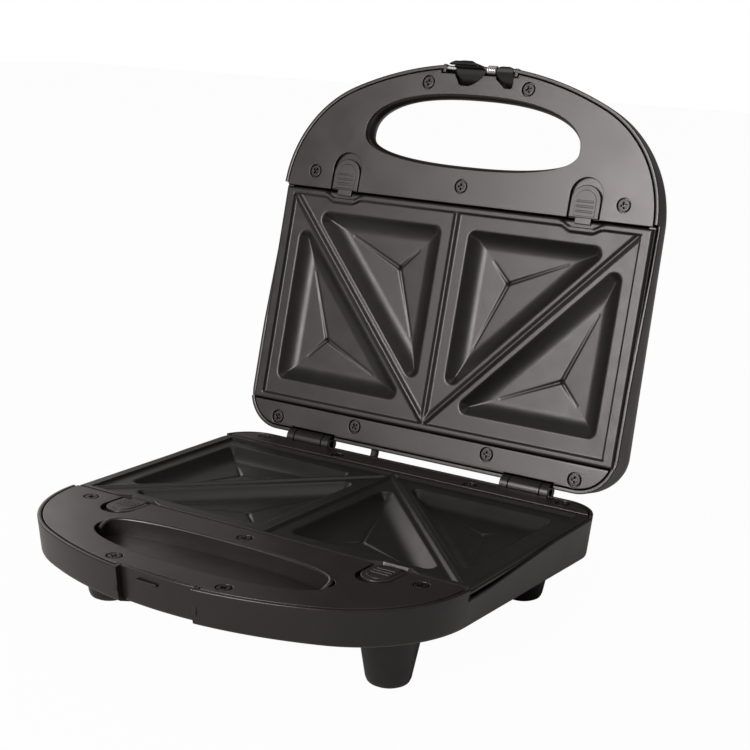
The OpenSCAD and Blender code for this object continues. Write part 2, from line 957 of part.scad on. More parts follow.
GLAND_DEPTH = 11;
gland_neck_r = cord_bore_r + 2;

module cord_gland() {
    flange_t = 2;
    color("#1d1b1a")
        in_base()
            difference() {
                union() {
                    translate([gland_u, -rear_v + flange_t, GLAND_DEPTH])
                        rotate([90, 0, 0])
                            cylinder(r = gland_neck_r + 1.6, h = flange_t);
                    translate([gland_u, -rear_v + flange_t, GLAND_DEPTH])
                        rotate([90, 0, 0])
                            cylinder(r = gland_neck_r, h = flange_t + wall + 3);
                }
                translate([gland_u, 5, GLAND_DEPTH])
                    rotate([90, 0, 0])
                        cylinder(r = cord_bore_r, h = 20);
            }
}

// Sleeved lead from the lower case to the lid, behind the hinge
module hinge_lead() {
    bend = LEAD_DEPTH + 0.2;
    back = [LEAD_DEPTH + 0.3, 0.2];
    color("#1d1b1a")
        translate([lead_u, hinge_y, axis_z]) {
            rod([0, -10, -LEAD_DEPTH], [0, back[0] - bend, -LEAD_DEPTH], LEAD_R);
            translate([0, back[0] - bend, back[1]])
                rotate([0, 90, 0])
                    rotate_extrude(angle = 90)
                        translate([bend, 0])
                            circle(r = LEAD_R);
            rod([0, back[0], back[1]], [0, back[0], back[1] + 8], LEAD_R);
        }
}

LENS_U = 11;
LENS_V = 112;
LENS_R = 4;
lens_top = depth_at(lid_depth, lid_rise, LENS_V);

module lens(u) {
    in_lid()
        translate([u, -LENS_V, 0]) {
            translate([0, 0, lens_top - wall - 1.2])
                cylinder(r = LENS_R, h = wall + 1.7);
            translate([0, 0, lens_top - wall - 2.4])
                cylinder(r = LENS_R + 1.4, h = 1.4);
        }
}

module lamp(u) {
    in_lid() {
        post(u, LENS_V, 2.6, under_tray + 1, lens_top - wall - 2.4 - FIT);
        post(u, LENS_V, 1, under_tray + SLIDE, under_tray + 2);
    }
}

module power_lens() {
    color("#a8231c")
        lens(-LENS_U);
}

module ready_lens() {
    color("#2c8a3c")
        lens(LENS_U);
}

module power_lamp() {
    color("#e0b8a0")
        lamp(-LENS_U);
}

module ready_lamp() {
    color("#e0b8a0")
        lamp(LENS_U);
}

// ---- Clips ----

CLIP_FLANGE = 2.7;
SPRING_R = 2;

module clip() {
    round_v = clip_apex_v - clip_half_w;
    lug_v = clip_apex_v - 5;
    difference() {
        union() {
            span(-clip_half_w, clip_half_w, plate_front_v - 2.1, round_v, CLIP_Z0, CLIP_Z1 - SLIDE);
            post(0, round_v, clip_half_w, CLIP_Z0, CLIP_Z1 - SLIDE);
            span(-3, 3, lug_v - 2, lug_v, CLIP_Z0, 8.6);
            span(-clip_half_w - CLIP_FLANGE, clip_half_w + CLIP_FLANGE, lug_v - 8, lug_v,
                deck_back + SLIDE, deck_back + 1.4);
        }
        for (i = [-1:1])
            span(-5, 5, round_v + 2.4 * i - 0.5, round_v + 2.4 * i + 0.5, CLIP_Z0 - 1, CLIP_Z0 + 0.5);
    }
}

module clip_springs() {
    both_sides()
        translate([clip_u, -clip_apex_v + 5 - RUN, 6.2])
            rotate([90, 0, 0])
                difference() {
                    cylinder(r = SPRING_R, h = 8.4 - 2 * RUN);
                    translate([0, 0, -1])
                        cylinder(r = SPRING_R - 0.6, h = 12);
                }
}

module base_clip_left() {
    color("#3d3a38")
        in_base()
            translate([-clip_u, 0, 0])
                clip();
}

module base_clip_right() {
    color("#3d3a38")
        in_base()
            translate([clip_u, 0, 0])
                clip();
}

module lid_clip_left() {
    color("#4c4947")
        in_lid()
            translate([-clip_u, 0, 0])
                clip();
}

module lid_clip_right() {
    color("#4c4947")
        in_lid()
            translate([clip_u, 0, 0])
                clip();
}

module base_clip_springs() {
    color("#b0b2b2")
        in_base()
            clip_springs();
}

module lid_clip_springs() {
    color("#b0b2b2")
        in_lid()
            clip_springs();
}

// ---- Screws ----

module frame_screw() {
    head_z = deck_z + 0.05;
    difference() {
        union() {
            translate([0, 0, head_z])
                cylinder(r1 = screw_head_r, r2 = screw_r, h = HEAD_DEPTH);
            translate([0, 0, head_z])
                cylinder(r = screw_r, h = SCREW_END - head_z);
        }
        for (turn = [0, 90])
            rotate([0, 0, turn])
                translate([-1.9, -0.4, head_z - 1])
                    cube([3.8, 0.8, 1.8]);
    }
}

module frame_screws() {
    for (p = screw_places)
        translate([p[0], -p[1], 0])
            frame_screw();
}

module base_screws() {
    color("#c4c6c6")
        in_base()
            frame_screws();
}

module lid_screws() {
    color("#c4c6c6")
        in_lid()
            frame_screws();
}

// ---- Feet ----

PAD_PROUD = 0.5;
PAD_T = 2.5;
SINK_DEPTH = 7;
foot_end = axis_z - PAD_PROUD;
FOOT_TOP = 27;
foot_places = [for (v = [foot_front_v, foot_rear_v], side = [1, -1]) [side * foot_u, v]];
foot_seat = foot_end - SINK_DEPTH;

module foot_bosses() {
    for (p = foot_places)
        post(p[0], p[1], boss_r + 0.6, foot_seat - 18, 60);
}

module foot_pilots() {
    for (p = foot_places)
        post(p[0], p[1], screw_r + 0.3, foot_seat - 15, 60);
}

module foot(u, v) {
    color("#2f2b2a")
        in_base()
            difference() {
                post_cone(u, v, foot_top_r, foot_bottom_r, FOOT_TOP - 8, foot_end);
                translate([0, 0, SLIDE])
                    filled(base_profile, base_rise);
                post(u, v, pad_r + RUN, axis_z - PAD_T - RUN, axis_z);
                post(u, v, screw_head_r + 0.5, foot_seat, axis_z);
                post(u, v, screw_r + 0.5, FOOT_TOP - 10, axis_z);
            }
}

module post_cone(u, v, r0, r1, z0, z1) {
    translate([u, -v, z0])
        cylinder(r1 = r0, r2 = r1, h = z1 - z0);
}

module foot_front_left() {
    foot(-foot_u, foot_front_v);
}

module foot_front_right() {
    foot(foot_u, foot_front_v);
}

module foot_rear_left() {
    foot(-foot_u, foot_rear_v);
}

module foot_rear_right() {
    foot(foot_u, foot_rear_v);
}

module foot_pads() {
    color("#1b1a19")
        in_base()
            for (p = foot_places)
                post(p[0], p[1], pad_r, axis_z - PAD_T, axis_z);
}

module foot_screws() {
    color("#b4b6b6")
        in_base()
            for (p = foot_places) {
                post(p[0], p[1], screw_head_r, foot_seat, foot_seat + 2.4);
                post(p[0], p[1], screw_r, foot_seat - 14, foot_seat + 0.1);
            }
}

// ---- Hinge pins ----

module hinge_pin_right() {
    color("#b4b6b6")
        translate([ear_in, hinge_y, axis_z])
            rotate([0, 90, 0])
                cylinder(r = pin_r, h = ear_out + ear_t - ear_in);
}

module hinge_pin_left() {
    mirror([1, 0, 0])
        hinge_pin_right();
}

// ---- Latch ----

// Front view of a claw: a domed head on a narrower foot
module claw_face(c, foot_u, foot_half_w) {
    head_r = 3;
    dome_r = (c[1] - c[0]) / 2 - 0.6;
    hull() {
        for (u = [c[0] + head_r, c[1] - head_r])
            post(u, latch_v - head_r + 0.5, head_r, HOOK_Z - 2, latch_top, $fn = 32);
        post((c[0] + c[1]) / 2, lever_v1 + 1 - dome_r, dome_r, HOOK_Z - 2, latch_top, $fn = 64);
        post(foot_u, claw_v + foot_half_w - 0.5, foot_half_w, HOOK_Z - 2, latch_top, $fn = 32);
    }
}

// Side view of the hooked claw: [distance, depth]
module hook_profile() {
    polygon([
        [-lever_v1, -6],
        [-lever_v1 - 1, -3],
        [-lever_v1 - 1, 4],
        [-lever_v1, 8],
        [-lever_v0 + 1.6, 8.5],
        [-claw_v, 6.4],
        [-claw_v, 4],
        [-latch_v + 2.2, 0.9],
        [-lever_v0, 0],
        [-lever_v0, -7.5],
        [-lever_v0 + 3, -7.9],
        [-lever_v0 + 3, HOOK_Z + 0.6],
        [-lever_v0 + 1, HOOK_Z],
        [-lever_v0 - 1.6, HOOK_Z]
    ]);
}

// Side view of the plain lobe: [distance, depth]
module lobe_profile() {
    polygon([
        [-lever_v1 + 0.9, 0.1],
        [-lever_v1 + 0.2, 1],
        [-lever_v1 + 0.2, 8],
        [-lever_v0 + 1.6, 8.5],
        [-claw_v, 6.4],
        [-claw_v, 4],
        [-latch_v + 2.2, 0.9],
        [-latch_v + 0.6, 0]
    ]);
}

module latch() {
    color("#2a2827")
        in_lid()
            difference() {
                union() {
                    for (i = [0, 1])
                        intersection() {
                            claw_face(claws[i], claw_feet[i][0], claw_feet[i][1]);
                            translate([claws[i][0], 0, 0])
                                rotate([90, 0, 90])
                                    linear_extrude(claws[i][1] - claws[i][0])
                                        if (claws[i] == hook_claw)
                                            hook_profile();
                                        else
                                            lobe_profile();
                        }
                    span(claws[0][0], claws[1][1], lever_v0 + 0.3, lever_v1, 6, latch_top);
                }
                rod([-notch_half_w, -latch_v, latch_z], [notch_half_w, -latch_v, latch_z],
                    latch_pin_r + RUN);
            }
}

module latch_pin() {
    color("#c4c6c6")
        in_lid()
            rod([-notch_half_w - 2, -latch_v, latch_z], [notch_half_w + 2, -latch_v, latch_z], latch_pin_r);
}

module latch_spring() {
    turns = 5;
    pitch = 1.05;
    color("#c4c6c6")
        in_lid()
            translate([(claws[0][1] + claws[1][0] - turns * pitch) / 2, -latch_v, latch_z])
                rotate([0, 90, 0])
                    rotate_extrude()
                        difference() {
                            union()
                                for (i = [0:turns - 1])
                                    translate([latch_pin_r + 0.75, (i + 0.5) * pitch])
                                        circle(r = 0.6, $fn = 24);
                            translate([0, -1])
                                square([latch_pin_r + 0.2, turns * pitch + 2]);
                        }
}

base_cover();
base_frame();
base_plate();
base_reflector();
base_heater();
base_heater_bushes();
base_heater_saddles();
base_wiring();
base_clip_left();
base_clip_right();
base_clip_springs();
base_screws();
thermostat();
thermal_fuse();
terminal_block();
cord_gland();
foot_front_left();
foot_front_right();
foot_rear_left();
foot_rear_right();
foot_pads();
foot_screws();
hinge_pin_left();
hinge_pin_right();
hinge_lead();
lid_cover();
lid_frame();
lid_plate();
lid_reflector();
lid_heater();
lid_heater_bushes();
lid_heater_saddles();
lid_wiring();
lid_clip_left();
lid_clip_right();
lid_clip_springs();
lid_screws();
power_lens();
ready_lens();
power_lamp();
ready_lamp();
latch();
latch_pin();
latch_spring();
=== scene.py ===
import json
from math import atan2, cos, degrees, pi, radians, sin, sqrt

import bmesh
import bpy
import numpy as np
from mathutils import Matrix, Vector
from mathutils.geometry import tessellate_polygon


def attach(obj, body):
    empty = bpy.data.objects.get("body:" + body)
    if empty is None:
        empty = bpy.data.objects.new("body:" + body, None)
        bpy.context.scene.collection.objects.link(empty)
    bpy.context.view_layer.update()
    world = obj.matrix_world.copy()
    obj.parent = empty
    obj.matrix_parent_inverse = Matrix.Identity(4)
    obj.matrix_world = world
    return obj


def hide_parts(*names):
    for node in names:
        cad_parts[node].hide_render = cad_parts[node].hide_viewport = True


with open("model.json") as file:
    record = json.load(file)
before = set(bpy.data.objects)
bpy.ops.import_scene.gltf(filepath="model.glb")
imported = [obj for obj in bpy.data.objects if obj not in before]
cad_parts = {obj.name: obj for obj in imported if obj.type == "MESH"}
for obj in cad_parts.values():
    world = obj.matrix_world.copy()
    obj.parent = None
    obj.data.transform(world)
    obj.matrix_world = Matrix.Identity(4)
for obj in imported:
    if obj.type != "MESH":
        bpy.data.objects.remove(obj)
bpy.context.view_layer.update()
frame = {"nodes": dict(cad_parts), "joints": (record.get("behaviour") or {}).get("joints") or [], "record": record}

# All shapes are drawn in millimetres in the frame of one half of the toaster: u across, v forward
# of the hinge axis, z from the parting plane into the half. Both halves share most shapes.
MM = 0.001

# ---- Driving sizes, in millimetres ----

# Outline and case
HALF_W = 113.0
SHOULDER_V = 139.2
FRONT_V = 214.0
CORNER_R = 64.0
REAR_V = 2.1
REAR_R = 21.0
WALL = 2.2
RIM_W = 2.0
NOTCH_HALF_W = 20.5
NOTCH_DEPTH = 3.0
# How much deeper a case gets from the shoulder to the hinge, as a share
BASE_RISE = 0.2
LID_RISE = 0.3

# Decks
DECK_Z = 0.5
DECK_T = 2.2
DECK_BACK = DECK_Z + DECK_T
DECK_INSET = 2.5
BAND_V = 17.2
SEAM_V = 139.6

# Plates
PLATE_FRONT_V = 138.6
PLATE_REAR_V = 17.7
PLATE_HALF_W = 111.0

# Grip hole, dish and steam guard
GRIP_V = 173.0
GRIP_HALF_W = 64.5
GRIP_FRONT = 24.3
GRIP_REAR = 14.6
GRIP_POWER = 2.35
GRIP_STEP = 2.5
WALL_SLOPE_Z = 7.0
DISH_SHORT = 2.8
DISH_DEPTH = 6.5
DISH_FLOOR_Z = DECK_Z + DISH_DEPTH
DISH_R = 2.2
DISH_INSET = 0.35
GUARD_H = 2.0
GUARD_W = 2.5
GUARD_GAP = 0.7
# How much thinner the bead is drawn on each side
GUARD_THINNER = 0.15
# Turn of the bead to each side, in degrees, and how its ends sink
GUARD_TURN = 94
GUARD_END_STEPS = 5.0
GUARD_END_DROP = 3.0

# Hinge ears
EAR_IN = 52.8
EAR_OUT = 81.2
EAR_T = 4.5
EAR_R = 4.6
EAR_NOTCH = 5.3
EAR_DEPTH = 12.0
EAR_SIDE_Z = 1.0
EAR_WALL_GAP = 0.4
EAR_GAP = 0.5
# Both ears of the base and the knuckle of the lid, on one side
EARS_U = ((EAR_IN + EAR_GAP, EAR_IN + EAR_GAP + EAR_T), (EAR_OUT - EAR_GAP - EAR_T, EAR_OUT - EAR_GAP))
KNUCKLES_U = ((58.2, 75.8),)

# Clips and screws
CLIP_U = 72.5
CLIP_HALF_W = 8.3
CLIP_APEX_V = 157.0
CLIP_TRAVEL = 3.7
SCREW_HEAD_R = 3.3

# Latch
CLAWS = ((-14.8, 4.3), (9.3, 20.0))
CLAW_V = 203.0
LEVER_IN_V = FRONT_V - 2.5
LEVER_OUT_V = FRONT_V
SLOT_GAP = 0.45
HOOK_NARROWS = 0.12
CATCH_U = (-10.5, 1.0)
CATCH_Z = (3.8, 5.3)
CATCH_OUT = 2.2
CATCH_IN = 1.4
# Front view of the hooked claw and of the plain lobe: rows of (v, left u, right u)
CLAW_FACES = (
    ((202.7, -9.8, -6.2), (203.2, -10.8, -4.6), (204.2, -11.5, -2.8), (205.4, -12.2, -0.9),
     (206.5, -12.9, 0.4), (207.6, -13.9, 1.6), (208.9, -14.7, 2.9), (210.2, -15.0, 3.8),
     (211.6, -15.0, 3.6), (212.4, -13.6, 2.5), (213.4, -11.2, 0.6), (214.2, -9.2, -1.4),
     (214.7, -7.5, -3.1), (215.0, -6.1, -4.5)),
    ((202.7, 16.9, 19.2), (203.2, 15.9, 19.8), (204.2, 14.8, 20.0), (205.3, 13.5, 20.0),
     (206.3, 12.1, 20.0), (207.3, 10.8, 20.0), (208.6, 9.7, 20.0), (210.4, 9.3, 20.0),
     (211.6, 9.5, 19.8), (212.6, 10.2, 19.2), (213.4, 11.4, 18.2), (213.8, 12.4, 17.2)),
)

# ---- What the frame says ----

joints = {j["name"]: j for j in frame["joints"]}
HINGE = np.array(joints["lid_hinge"]["pos_m"]) / MM
OPEN_ANGLE = radians(joints["lid_hinge"]["range_deg"][1])

# ---- Frames of the two halves ----


def base_place(points):
    """The base's (u, v, z) in the shared frame, in metres."""
    p = np.asarray(points, float)
    return np.stack([p[:, 0], HINGE[1] - p[:, 1], HINGE[2] - p[:, 2]], axis=1) * MM


def lid_place(points):
    """The lid's (u, v, z) in the shared frame, in metres, with the lid open."""
    p = np.asarray(points, float)
    c, s = cos(OPEN_ANGLE), sin(OPEN_ANGLE)
    y = -p[:, 1] * c + p[:, 2] * s
    z = p[:, 1] * s + p[:, 2] * c
    return np.stack([p[:, 0], HINGE[1] + y, HINGE[2] + z], axis=1) * MM


PLACE = {"base": base_place, "lid": lid_place}

# ---- Mesh helpers ----

# Points closer than this, in metres, are one point
SAME_POINT = 1e-7
# Least length that a direction is divided by
TINY = 1e-9
# Least share of the mitre at a sharp corner
LEAST_MITRE = 0.4


def add_piece(name, half, shape, material, body=None, replaced=(), sharp=38, weighted=True):
    """A mesh piece from a shape in one half's frame."""
    mesh = bpy.data.meshes.new(name)
    points = PLACE[half](shape.points)
    mesh.from_pydata([tuple(p) for p in points], [], [tuple(f) for f in shape.faces])
    bm = bmesh.new()
    bm.from_mesh(mesh)
    bmesh.ops.remove_doubles(bm, verts=bm.verts, dist=SAME_POINT)
    bmesh.ops.recalc_face_normals(bm, faces=bm.faces)
    bm.to_mesh(mesh)
    bm.free()
    mesh.shade_smooth()
    mesh.set_sharp_from_angle(angle=radians(sharp))
    mesh.materials.append(material)
    piece = bpy.data.objects.new(name, mesh)
    bpy.context.scene.collection.objects.link(piece)
    if weighted:
        modifier = piece.modifiers.new("even_shading", "WEIGHTED_NORMAL")
        modifier.keep_sharp = True
    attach(piece, body or half)
    if replaced:
        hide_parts(*replaced)


class Shape:
    """Points and faces gathered for one piece."""

    def __init__(self):
        self.points = []
        self.faces = []

    def add(self, points, faces):
        start = len(self.points)
        self.points.extend([tuple(p) for p in points])
        self.faces.extend([tuple(start + i for i in f) for f in faces])

    def grid(self, rows, cap_last=False, cap_first=False):
        """Skin over closed rows of equal length."""
        count = len(rows[0])
        points = [p for row in rows for p in row]
        faces = []
        for r in range(len(rows) - 1):
            for i in range(count):
                j = (i + 1) % count
                low, high = r * count, (r + 1) * count
                faces.append((low + i, low + j, high + j, high + i))
        if cap_last:
            faces.append(tuple(range((len(rows) - 1) * count, len(rows) * count)))
        if cap_first:
            faces.append(tuple(reversed(range(count))))
        self.add(points, faces)

    def slab(self, loops, z0, z1, edge=0.3, steps=3, place=None):
        """Plate between two depths with an outer loop and holes, its z0 edges rounded.

        place turns the (a, b, z) of the slab into the half's (u, v, z).
        """
        loops = [np.asarray(oriented(loop, i == 0), float) for i, loop in enumerate(loops)]
        rings = []
        for loop in loops:
            rows = [with_z(loop, z1), with_z(loop, z0 + edge)]
            for k in range(1, steps + 1):
                a = pi / 2 * k / steps
                rows.append(with_z(offset_loop(loop, edge * (1 - cos(a))), z0 + edge * (1 - sin(a))))
            rings.append(rows)
        for rows in rings:
            mapped = [[place(p) for p in row] if place else row for row in rows]
            self.grid(mapped)
        for row_index in (-1, 0):
            flat = [[Vector((p[0], p[1], 0)) for p in rows[row_index]] for rows in rings]
            points = [p for rows in rings for p in rows[row_index]]
            triangles = tessellate_polygon(flat)
            if place:
                points = [place(p) for p in points]
            self.add(points, triangles)

    def box(self, u0, u1, v0, v1, z_range, r=0.3, **options):
        """Slab with four round corners."""
        self.slab([rounded_box(u0, u1, v0, v1, r)], *z_range, **options)


def with_z(loop, z):
    return [(p[0], p[1], z) for p in loop]


def oriented(loop, outer):
    """The loop turning left for an outer edge, right for a hole."""
    p = np.asarray(loop, float)
    q = np.roll(p, -1, axis=0)
    area = np.sum(p[:, 0] * q[:, 1] - q[:, 0] * p[:, 1])
    return p if (area > 0) == outer else p[::-1]


def unit(rows):
    """Each row as a direction of length one."""
    return rows / np.maximum(np.linalg.norm(rows, axis=1, keepdims=True), TINY)


def offset_loop(loop, d):
    """The loop moved into the material by d, with mitred corners."""
    before = loop - np.roll(loop, 1, axis=0)
    after = np.roll(loop, -1, axis=0) - loop
    n0 = unit(np.stack([-before[:, 1], before[:, 0]], axis=1))
    n1 = unit(np.stack([-after[:, 1], after[:, 0]], axis=1))
    n = unit(n0 + n1)
    k = np.maximum(np.sum(n * n0, axis=1, keepdims=True), LEAST_MITRE)
    return loop + n * d / k


def circle(cu, cv, r, count=32):
    """Points of a circle, counted from the right."""
    angles = [2 * pi * i / count for i in range(count)]
    return [(cu + r * cos(a), cv + r * sin(a)) for a in angles]


def arc_points(cu, cv, r, degree_steps):
    """Points of a circle at angles counted in degrees from forward to the right."""
    return [(cu + r * sin(radians(a)), cv + r * cos(radians(a))) for a in degree_steps]


def mirrored(points):
    """The points of the right half, taken backwards on the left."""
    return [(-u, v) for u, v in points[::-1]]


def swept_along_u(p):
    """A slab drawn in (y, z), where y is -v, and swept along u."""
    return p[2], -p[0], p[1]


def swept_along_v(p):
    """A slab drawn in (u, z) and swept along y, which is -v."""
    return p[0], -p[2], p[1]


def rounded_box(u0, u1, v0, v1, r, steps=4):
    """Loop of a rectangle with round corners."""
    corners = [(u1 - r, v1 - r, 0), (u0 + r, v1 - r, 90), (u0 + r, v0 + r, 180),
               (u1 - r, v0 + r, 270)]
    points = []
    for cu, cv, a0 in corners:
        for i in range(steps + 1):
            a = radians(a0 + 90 * i / steps)
            points.append((cu + r * cos(a), cv + r * sin(a)))
    return points


def smooth_step(x):
    x = np.clip(x, 0.0, 1.0)
    return x * x * (3 - 2 * x)


# ---- Outline of the case ----

CORNER_U = HALF_W - CORNER_R
REACH = FRONT_V - SHOULDER_V
FRONT_R = (CORNER_U**2 + REACH**2 - CORNER_R**2) / (2 * (REACH - CORNER_R))
FRONT_C = FRONT_V - FRONT_R
JOIN = degrees(atan2(CORNER_U, SHOULDER_V - FRONT_C))
# Half the angle between the two columns at a step in the wall
STEP = 0.03
# End of the wall that is cut down beside the plate
CUT_END_V = SEAM_V + 1.2
NOTCH_A = degrees(np.arcsin(NOTCH_HALF_W / FRONT_R))
SEAM_A = degrees(np.arccos((CUT_END_V - SHOULDER_V) / CORNER_R))
CUT_A = degrees(np.arccos((PLATE_REAR_V - REAR_V - REAR_R) / REAR_R))


def spread(a, b, count, extra=()):
    """Angles from a up to b, b left out, with doubled ones for steps in the wall."""
    values = list(np.linspace(a, b, count, endpoint=False))
    for e in extra:
        values += [e - STEP, e + STEP]
    return sorted(values)


FRONT_COLUMNS = 44
CORNER_COLUMNS = 34
REAR_CORNER_COLUMNS = 18
SIDE_STEPS = np.linspace(0, 1, 24, endpoint=False)
EAR_STEPS = [0.5 + side * (edge + step) / (2 * (HALF_W - REAR_R))
             for side in (-1, 1) for edge in (EAR_IN, EAR_OUT) for step in (-0.05, 0.05)]
COLUMNS = (
    [("front", a) for a in spread(-JOIN, JOIN, FRONT_COLUMNS, (-NOTCH_A, NOTCH_A))]
    + [("right", a) for a in spread(JOIN, 90, CORNER_COLUMNS, (SEAM_A,))]
    + [("right_side", t) for t in SIDE_STEPS]
    + [("rear_right", a) for a in spread(90, 180, REAR_CORNER_COLUMNS, (CUT_A,))]
    + [("rear", t) for t in sorted(list(SIDE_STEPS) + EAR_STEPS)]
    + [("rear_left", a) for a in spread(180, 270, REAR_CORNER_COLUMNS, (360 - CUT_A,))]
    + [("left_side", t) for t in SIDE_STEPS]
    + [("left", a) for a in spread(270, 360 - JOIN, CORNER_COLUMNS, (360 - SEAM_A,))]
)
# Least radii of the corners when the outline is inset far
LEAST_REAR_R = 2.0
LEAST_CORNER_R = 4.0


def ring(inset):
    """Outline inset by a distance, one (u, v) for each column."""
    rear_r = max(REAR_R - inset, LEAST_REAR_R)
    ru = HALF_W - inset - rear_r
    rv = REAR_V + inset + rear_r
    corner_r = max(CORNER_R - inset, LEAST_CORNER_R)
    points = []
    for kind, t in COLUMNS:
        a = radians(t)
        side = 1 if "right" in kind else -1
        if kind == "front":
            points.append(((FRONT_R - inset) * sin(a), FRONT_C + (FRONT_R - inset) * cos(a)))
        elif kind in ("right", "left"):
            points.append((side * CORNER_U + corner_r * sin(a), SHOULDER_V + corner_r * cos(a)))
        elif kind == "right_side":
            points.append((HALF_W - inset, SHOULDER_V + (rv - SHOULDER_V) * t))
        elif kind == "left_side":
            points.append((inset - HALF_W, rv + (SHOULDER_V - rv) * t))
        elif kind == "rear":
            points.append((ru - 2 * ru * t, REAR_V + inset))
        else:
            points.append((side * ru + rear_r * sin(a), rv + rear_r * cos(a)))
    return np.array(points)


OUTLINE = ring(0)
ACROSS = np.abs(OUTLINE[:, 0])
FORWARD = OUTLINE[:, 1]
IN_NOTCH = (ACROSS < NOTCH_HALF_W) & (FORWARD > SHOULDER_V)
AT_EAR = (ACROSS > EAR_IN) & (ACROSS < EAR_OUT) & (FORWARD < REAR_V + 1)
AT_PLATE = (FORWARD > PLATE_REAR_V) & (FORWARD < CUT_END_V)
# Depth of the cut wall at places along the side
CUT_V = (18, 60, 118, 141)
CUT_Z = (1.7, 1.8, 4.9, 5.1)


def wall_top():
    """Depth of the wall's top edge at each column: the wall is cut down beside the plate."""
    cut = np.interp(FORWARD, CUT_V, CUT_Z)
    top = np.where(AT_PLATE, cut, DECK_Z)
    return np.where(AT_EAR, EAR_NOTCH - EAR_WALL_GAP, top)


def rise(v, share):
    """Factor by which a case is deeper at a place towards the hinge."""
    return 1 + share * (SHOULDER_V - v) / SHOULDER_V


# ---- Covers ----

# Over a cover's rim, from its inside to the top of its outer wall: (inset, depth)
RIM_ROWS = [(WALL + 0.1, 10.0), (RIM_W, 0.5), (RIM_W - 0.12, 0.15), (RIM_W - 0.45, 0.0),
            (0.55, 0.0), (0.25, 0.06), (0.07, 0.25), (0.0, 0.6)]
# The base's wall and bottom, with a round edge between them: (inset, depth)
BASE_WALL = [(0.62, 6.4), (0.9, 9), (1.2, 12), (1.5, 14.6), (1.72, 16.6)]
BASE_BOTTOM = [(6.0, 19.9), (10.0, 21.2), (16.0, 23.1), (24.0, 25.4), (32.0, 27.7), (39.0, 29.6),
               (43.0, 30.5), (45.5, 30.9), (48.0, 31.0)]
BASE_EDGE_INSET = 1.8
BASE_EDGE_Z = 17.1
BASE_EDGE_R = 2.0
# The latch notch fades out over this height, down to this depth
NOTCH_FADE = 6.0
NOTCH_END_Z = 26.0
NOTCH_SIDE_OUT = 0.9
NOTCH_SIDE_Z = 12.0


def rim_rows(top, shift):
    """Rows over the rim of a cover, from the inside to the top of the outer wall."""
    rows = []
    for inset, depth in RIM_ROWS:
        rows.append([(u, v - s, t + depth) for (u, v), s, t in zip(ring(inset), shift, top)])
    return rows


def base_cover():
    shift = np.where(IN_NOTCH, NOTCH_DEPTH, 0.0)
    rows = rim_rows(wall_top(), shift)
    profile = list(BASE_WALL)
    profile += [(BASE_EDGE_INSET + BASE_EDGE_R * (1 - cos(a)), BASE_EDGE_Z + BASE_EDGE_R * sin(a))
                for a in np.linspace(0.12, 1.25, 6)]
    profile += BASE_BOTTOM
    for inset, depth in profile:
        fade = float(np.clip((NOTCH_END_Z - depth) / NOTCH_FADE, 0, 1))
        row = [(u, v - s * fade) for (u, v), s in zip(ring(inset), shift)]
        rows.append([(u, v, depth * rise(v, BASE_RISE)) for u, v in row])
    shape = Shape()
    shape.grid(rows, cap_last=True)
    hinge_webs(shape, EARS_U)
    notch_v = FRONT_V - NOTCH_DEPTH
    # Thickness of the case at the two sides of the latch notch
    for u0 in (-NOTCH_HALF_W - WALL, NOTCH_HALF_W):
        shape.box(u0, u0 + WALL, notch_v - WALL, notch_v + NOTCH_SIDE_OUT, (DECK_Z, NOTCH_SIDE_Z))
    # Rib that the latch hook holds on to
    wall_v = notch_v - CATCH_IN
    shape.box(*CATCH_U, *CATCH_Z, (-wall_v - CATCH_OUT, -wall_v), r=0.5, edge=0.6, place=swept_along_v)
    add_piece("base_shell", "base", shape, case_plastic, replaced=["base_cover"])


def hinge_webs(shape, u_ranges):
    """Hinge ears on both sides, each with a round end and a web down the rear wall."""
    arc = [(EAR_R * cos(a), -EAR_R * sin(a)) for a in np.linspace(0, pi, 20)]
    loop = arc + [(-REAR_V - WALL, EAR_DEPTH), (-REAR_V, EAR_DEPTH), (EAR_R, EAR_SIDE_Z)]
    for side in (-1, 1):
        for u_range in u_ranges:
            u0, u1 = sorted(side * u for u in u_range)
            shape.slab([loop], u0, u1, edge=0.35, place=swept_along_u)


# Outside of the lid: (distance from the outline, depth)
LID_PROFILE = [(0.0, 0.5), (0.03, 3.5), (0.1, 6.8), (0.4, 10.0), (0.9, 12.9), (1.7, 16.0), (2.8, 19.0),
               (4.0, 21.6), (5.5, 23.8), (7.6, 26.4), (10.0, 28.5), (14.0, 30.6), (19.0, 32.1), (26.0, 33.4),
               (34.0, 34.0), (200.0, 34.0)]
# The rows that follow the outline end at this inset and start at this depth
LID_RING_INSET = 5.5
LID_RING_Z = 7
# Depth to which the lid's wall is cut away at the latch
LATCH_RIM_Z = 16.0
# Least drop from the rim to a row below it, and its growth with the depth
RIM_DROP = 0.7
RIM_DROP_GROWTH = 0.01
# Rows from the lid's edge to the grip hole
TOP_STEPS = 26
# Slope from the grip hole's wall up to the deck: (share of the way, share of the step)
WALL_SLOPE = ((0.25, 0.12), (0.5, 0.36), (0.75, 0.68), (0.93, 0.93), (1.0, 1.25))
# Walls of the latch chamber
CHAMBER_GAP = 1.7
CHAMBER_BACK = 1.2
CHAMBER_WALL = 2
CHAMBER_IN = 2.0
CHAMBER_BACK_Z = (3.0, 17.3)
CHAMBER_FLOOR_Z = (16.1, 17.4)
CHAMBER_SIDE_Z = (3.0, 17.0)
POST_IN = (5.3, 0.9)
POST_Z = (0.62, 4.0)


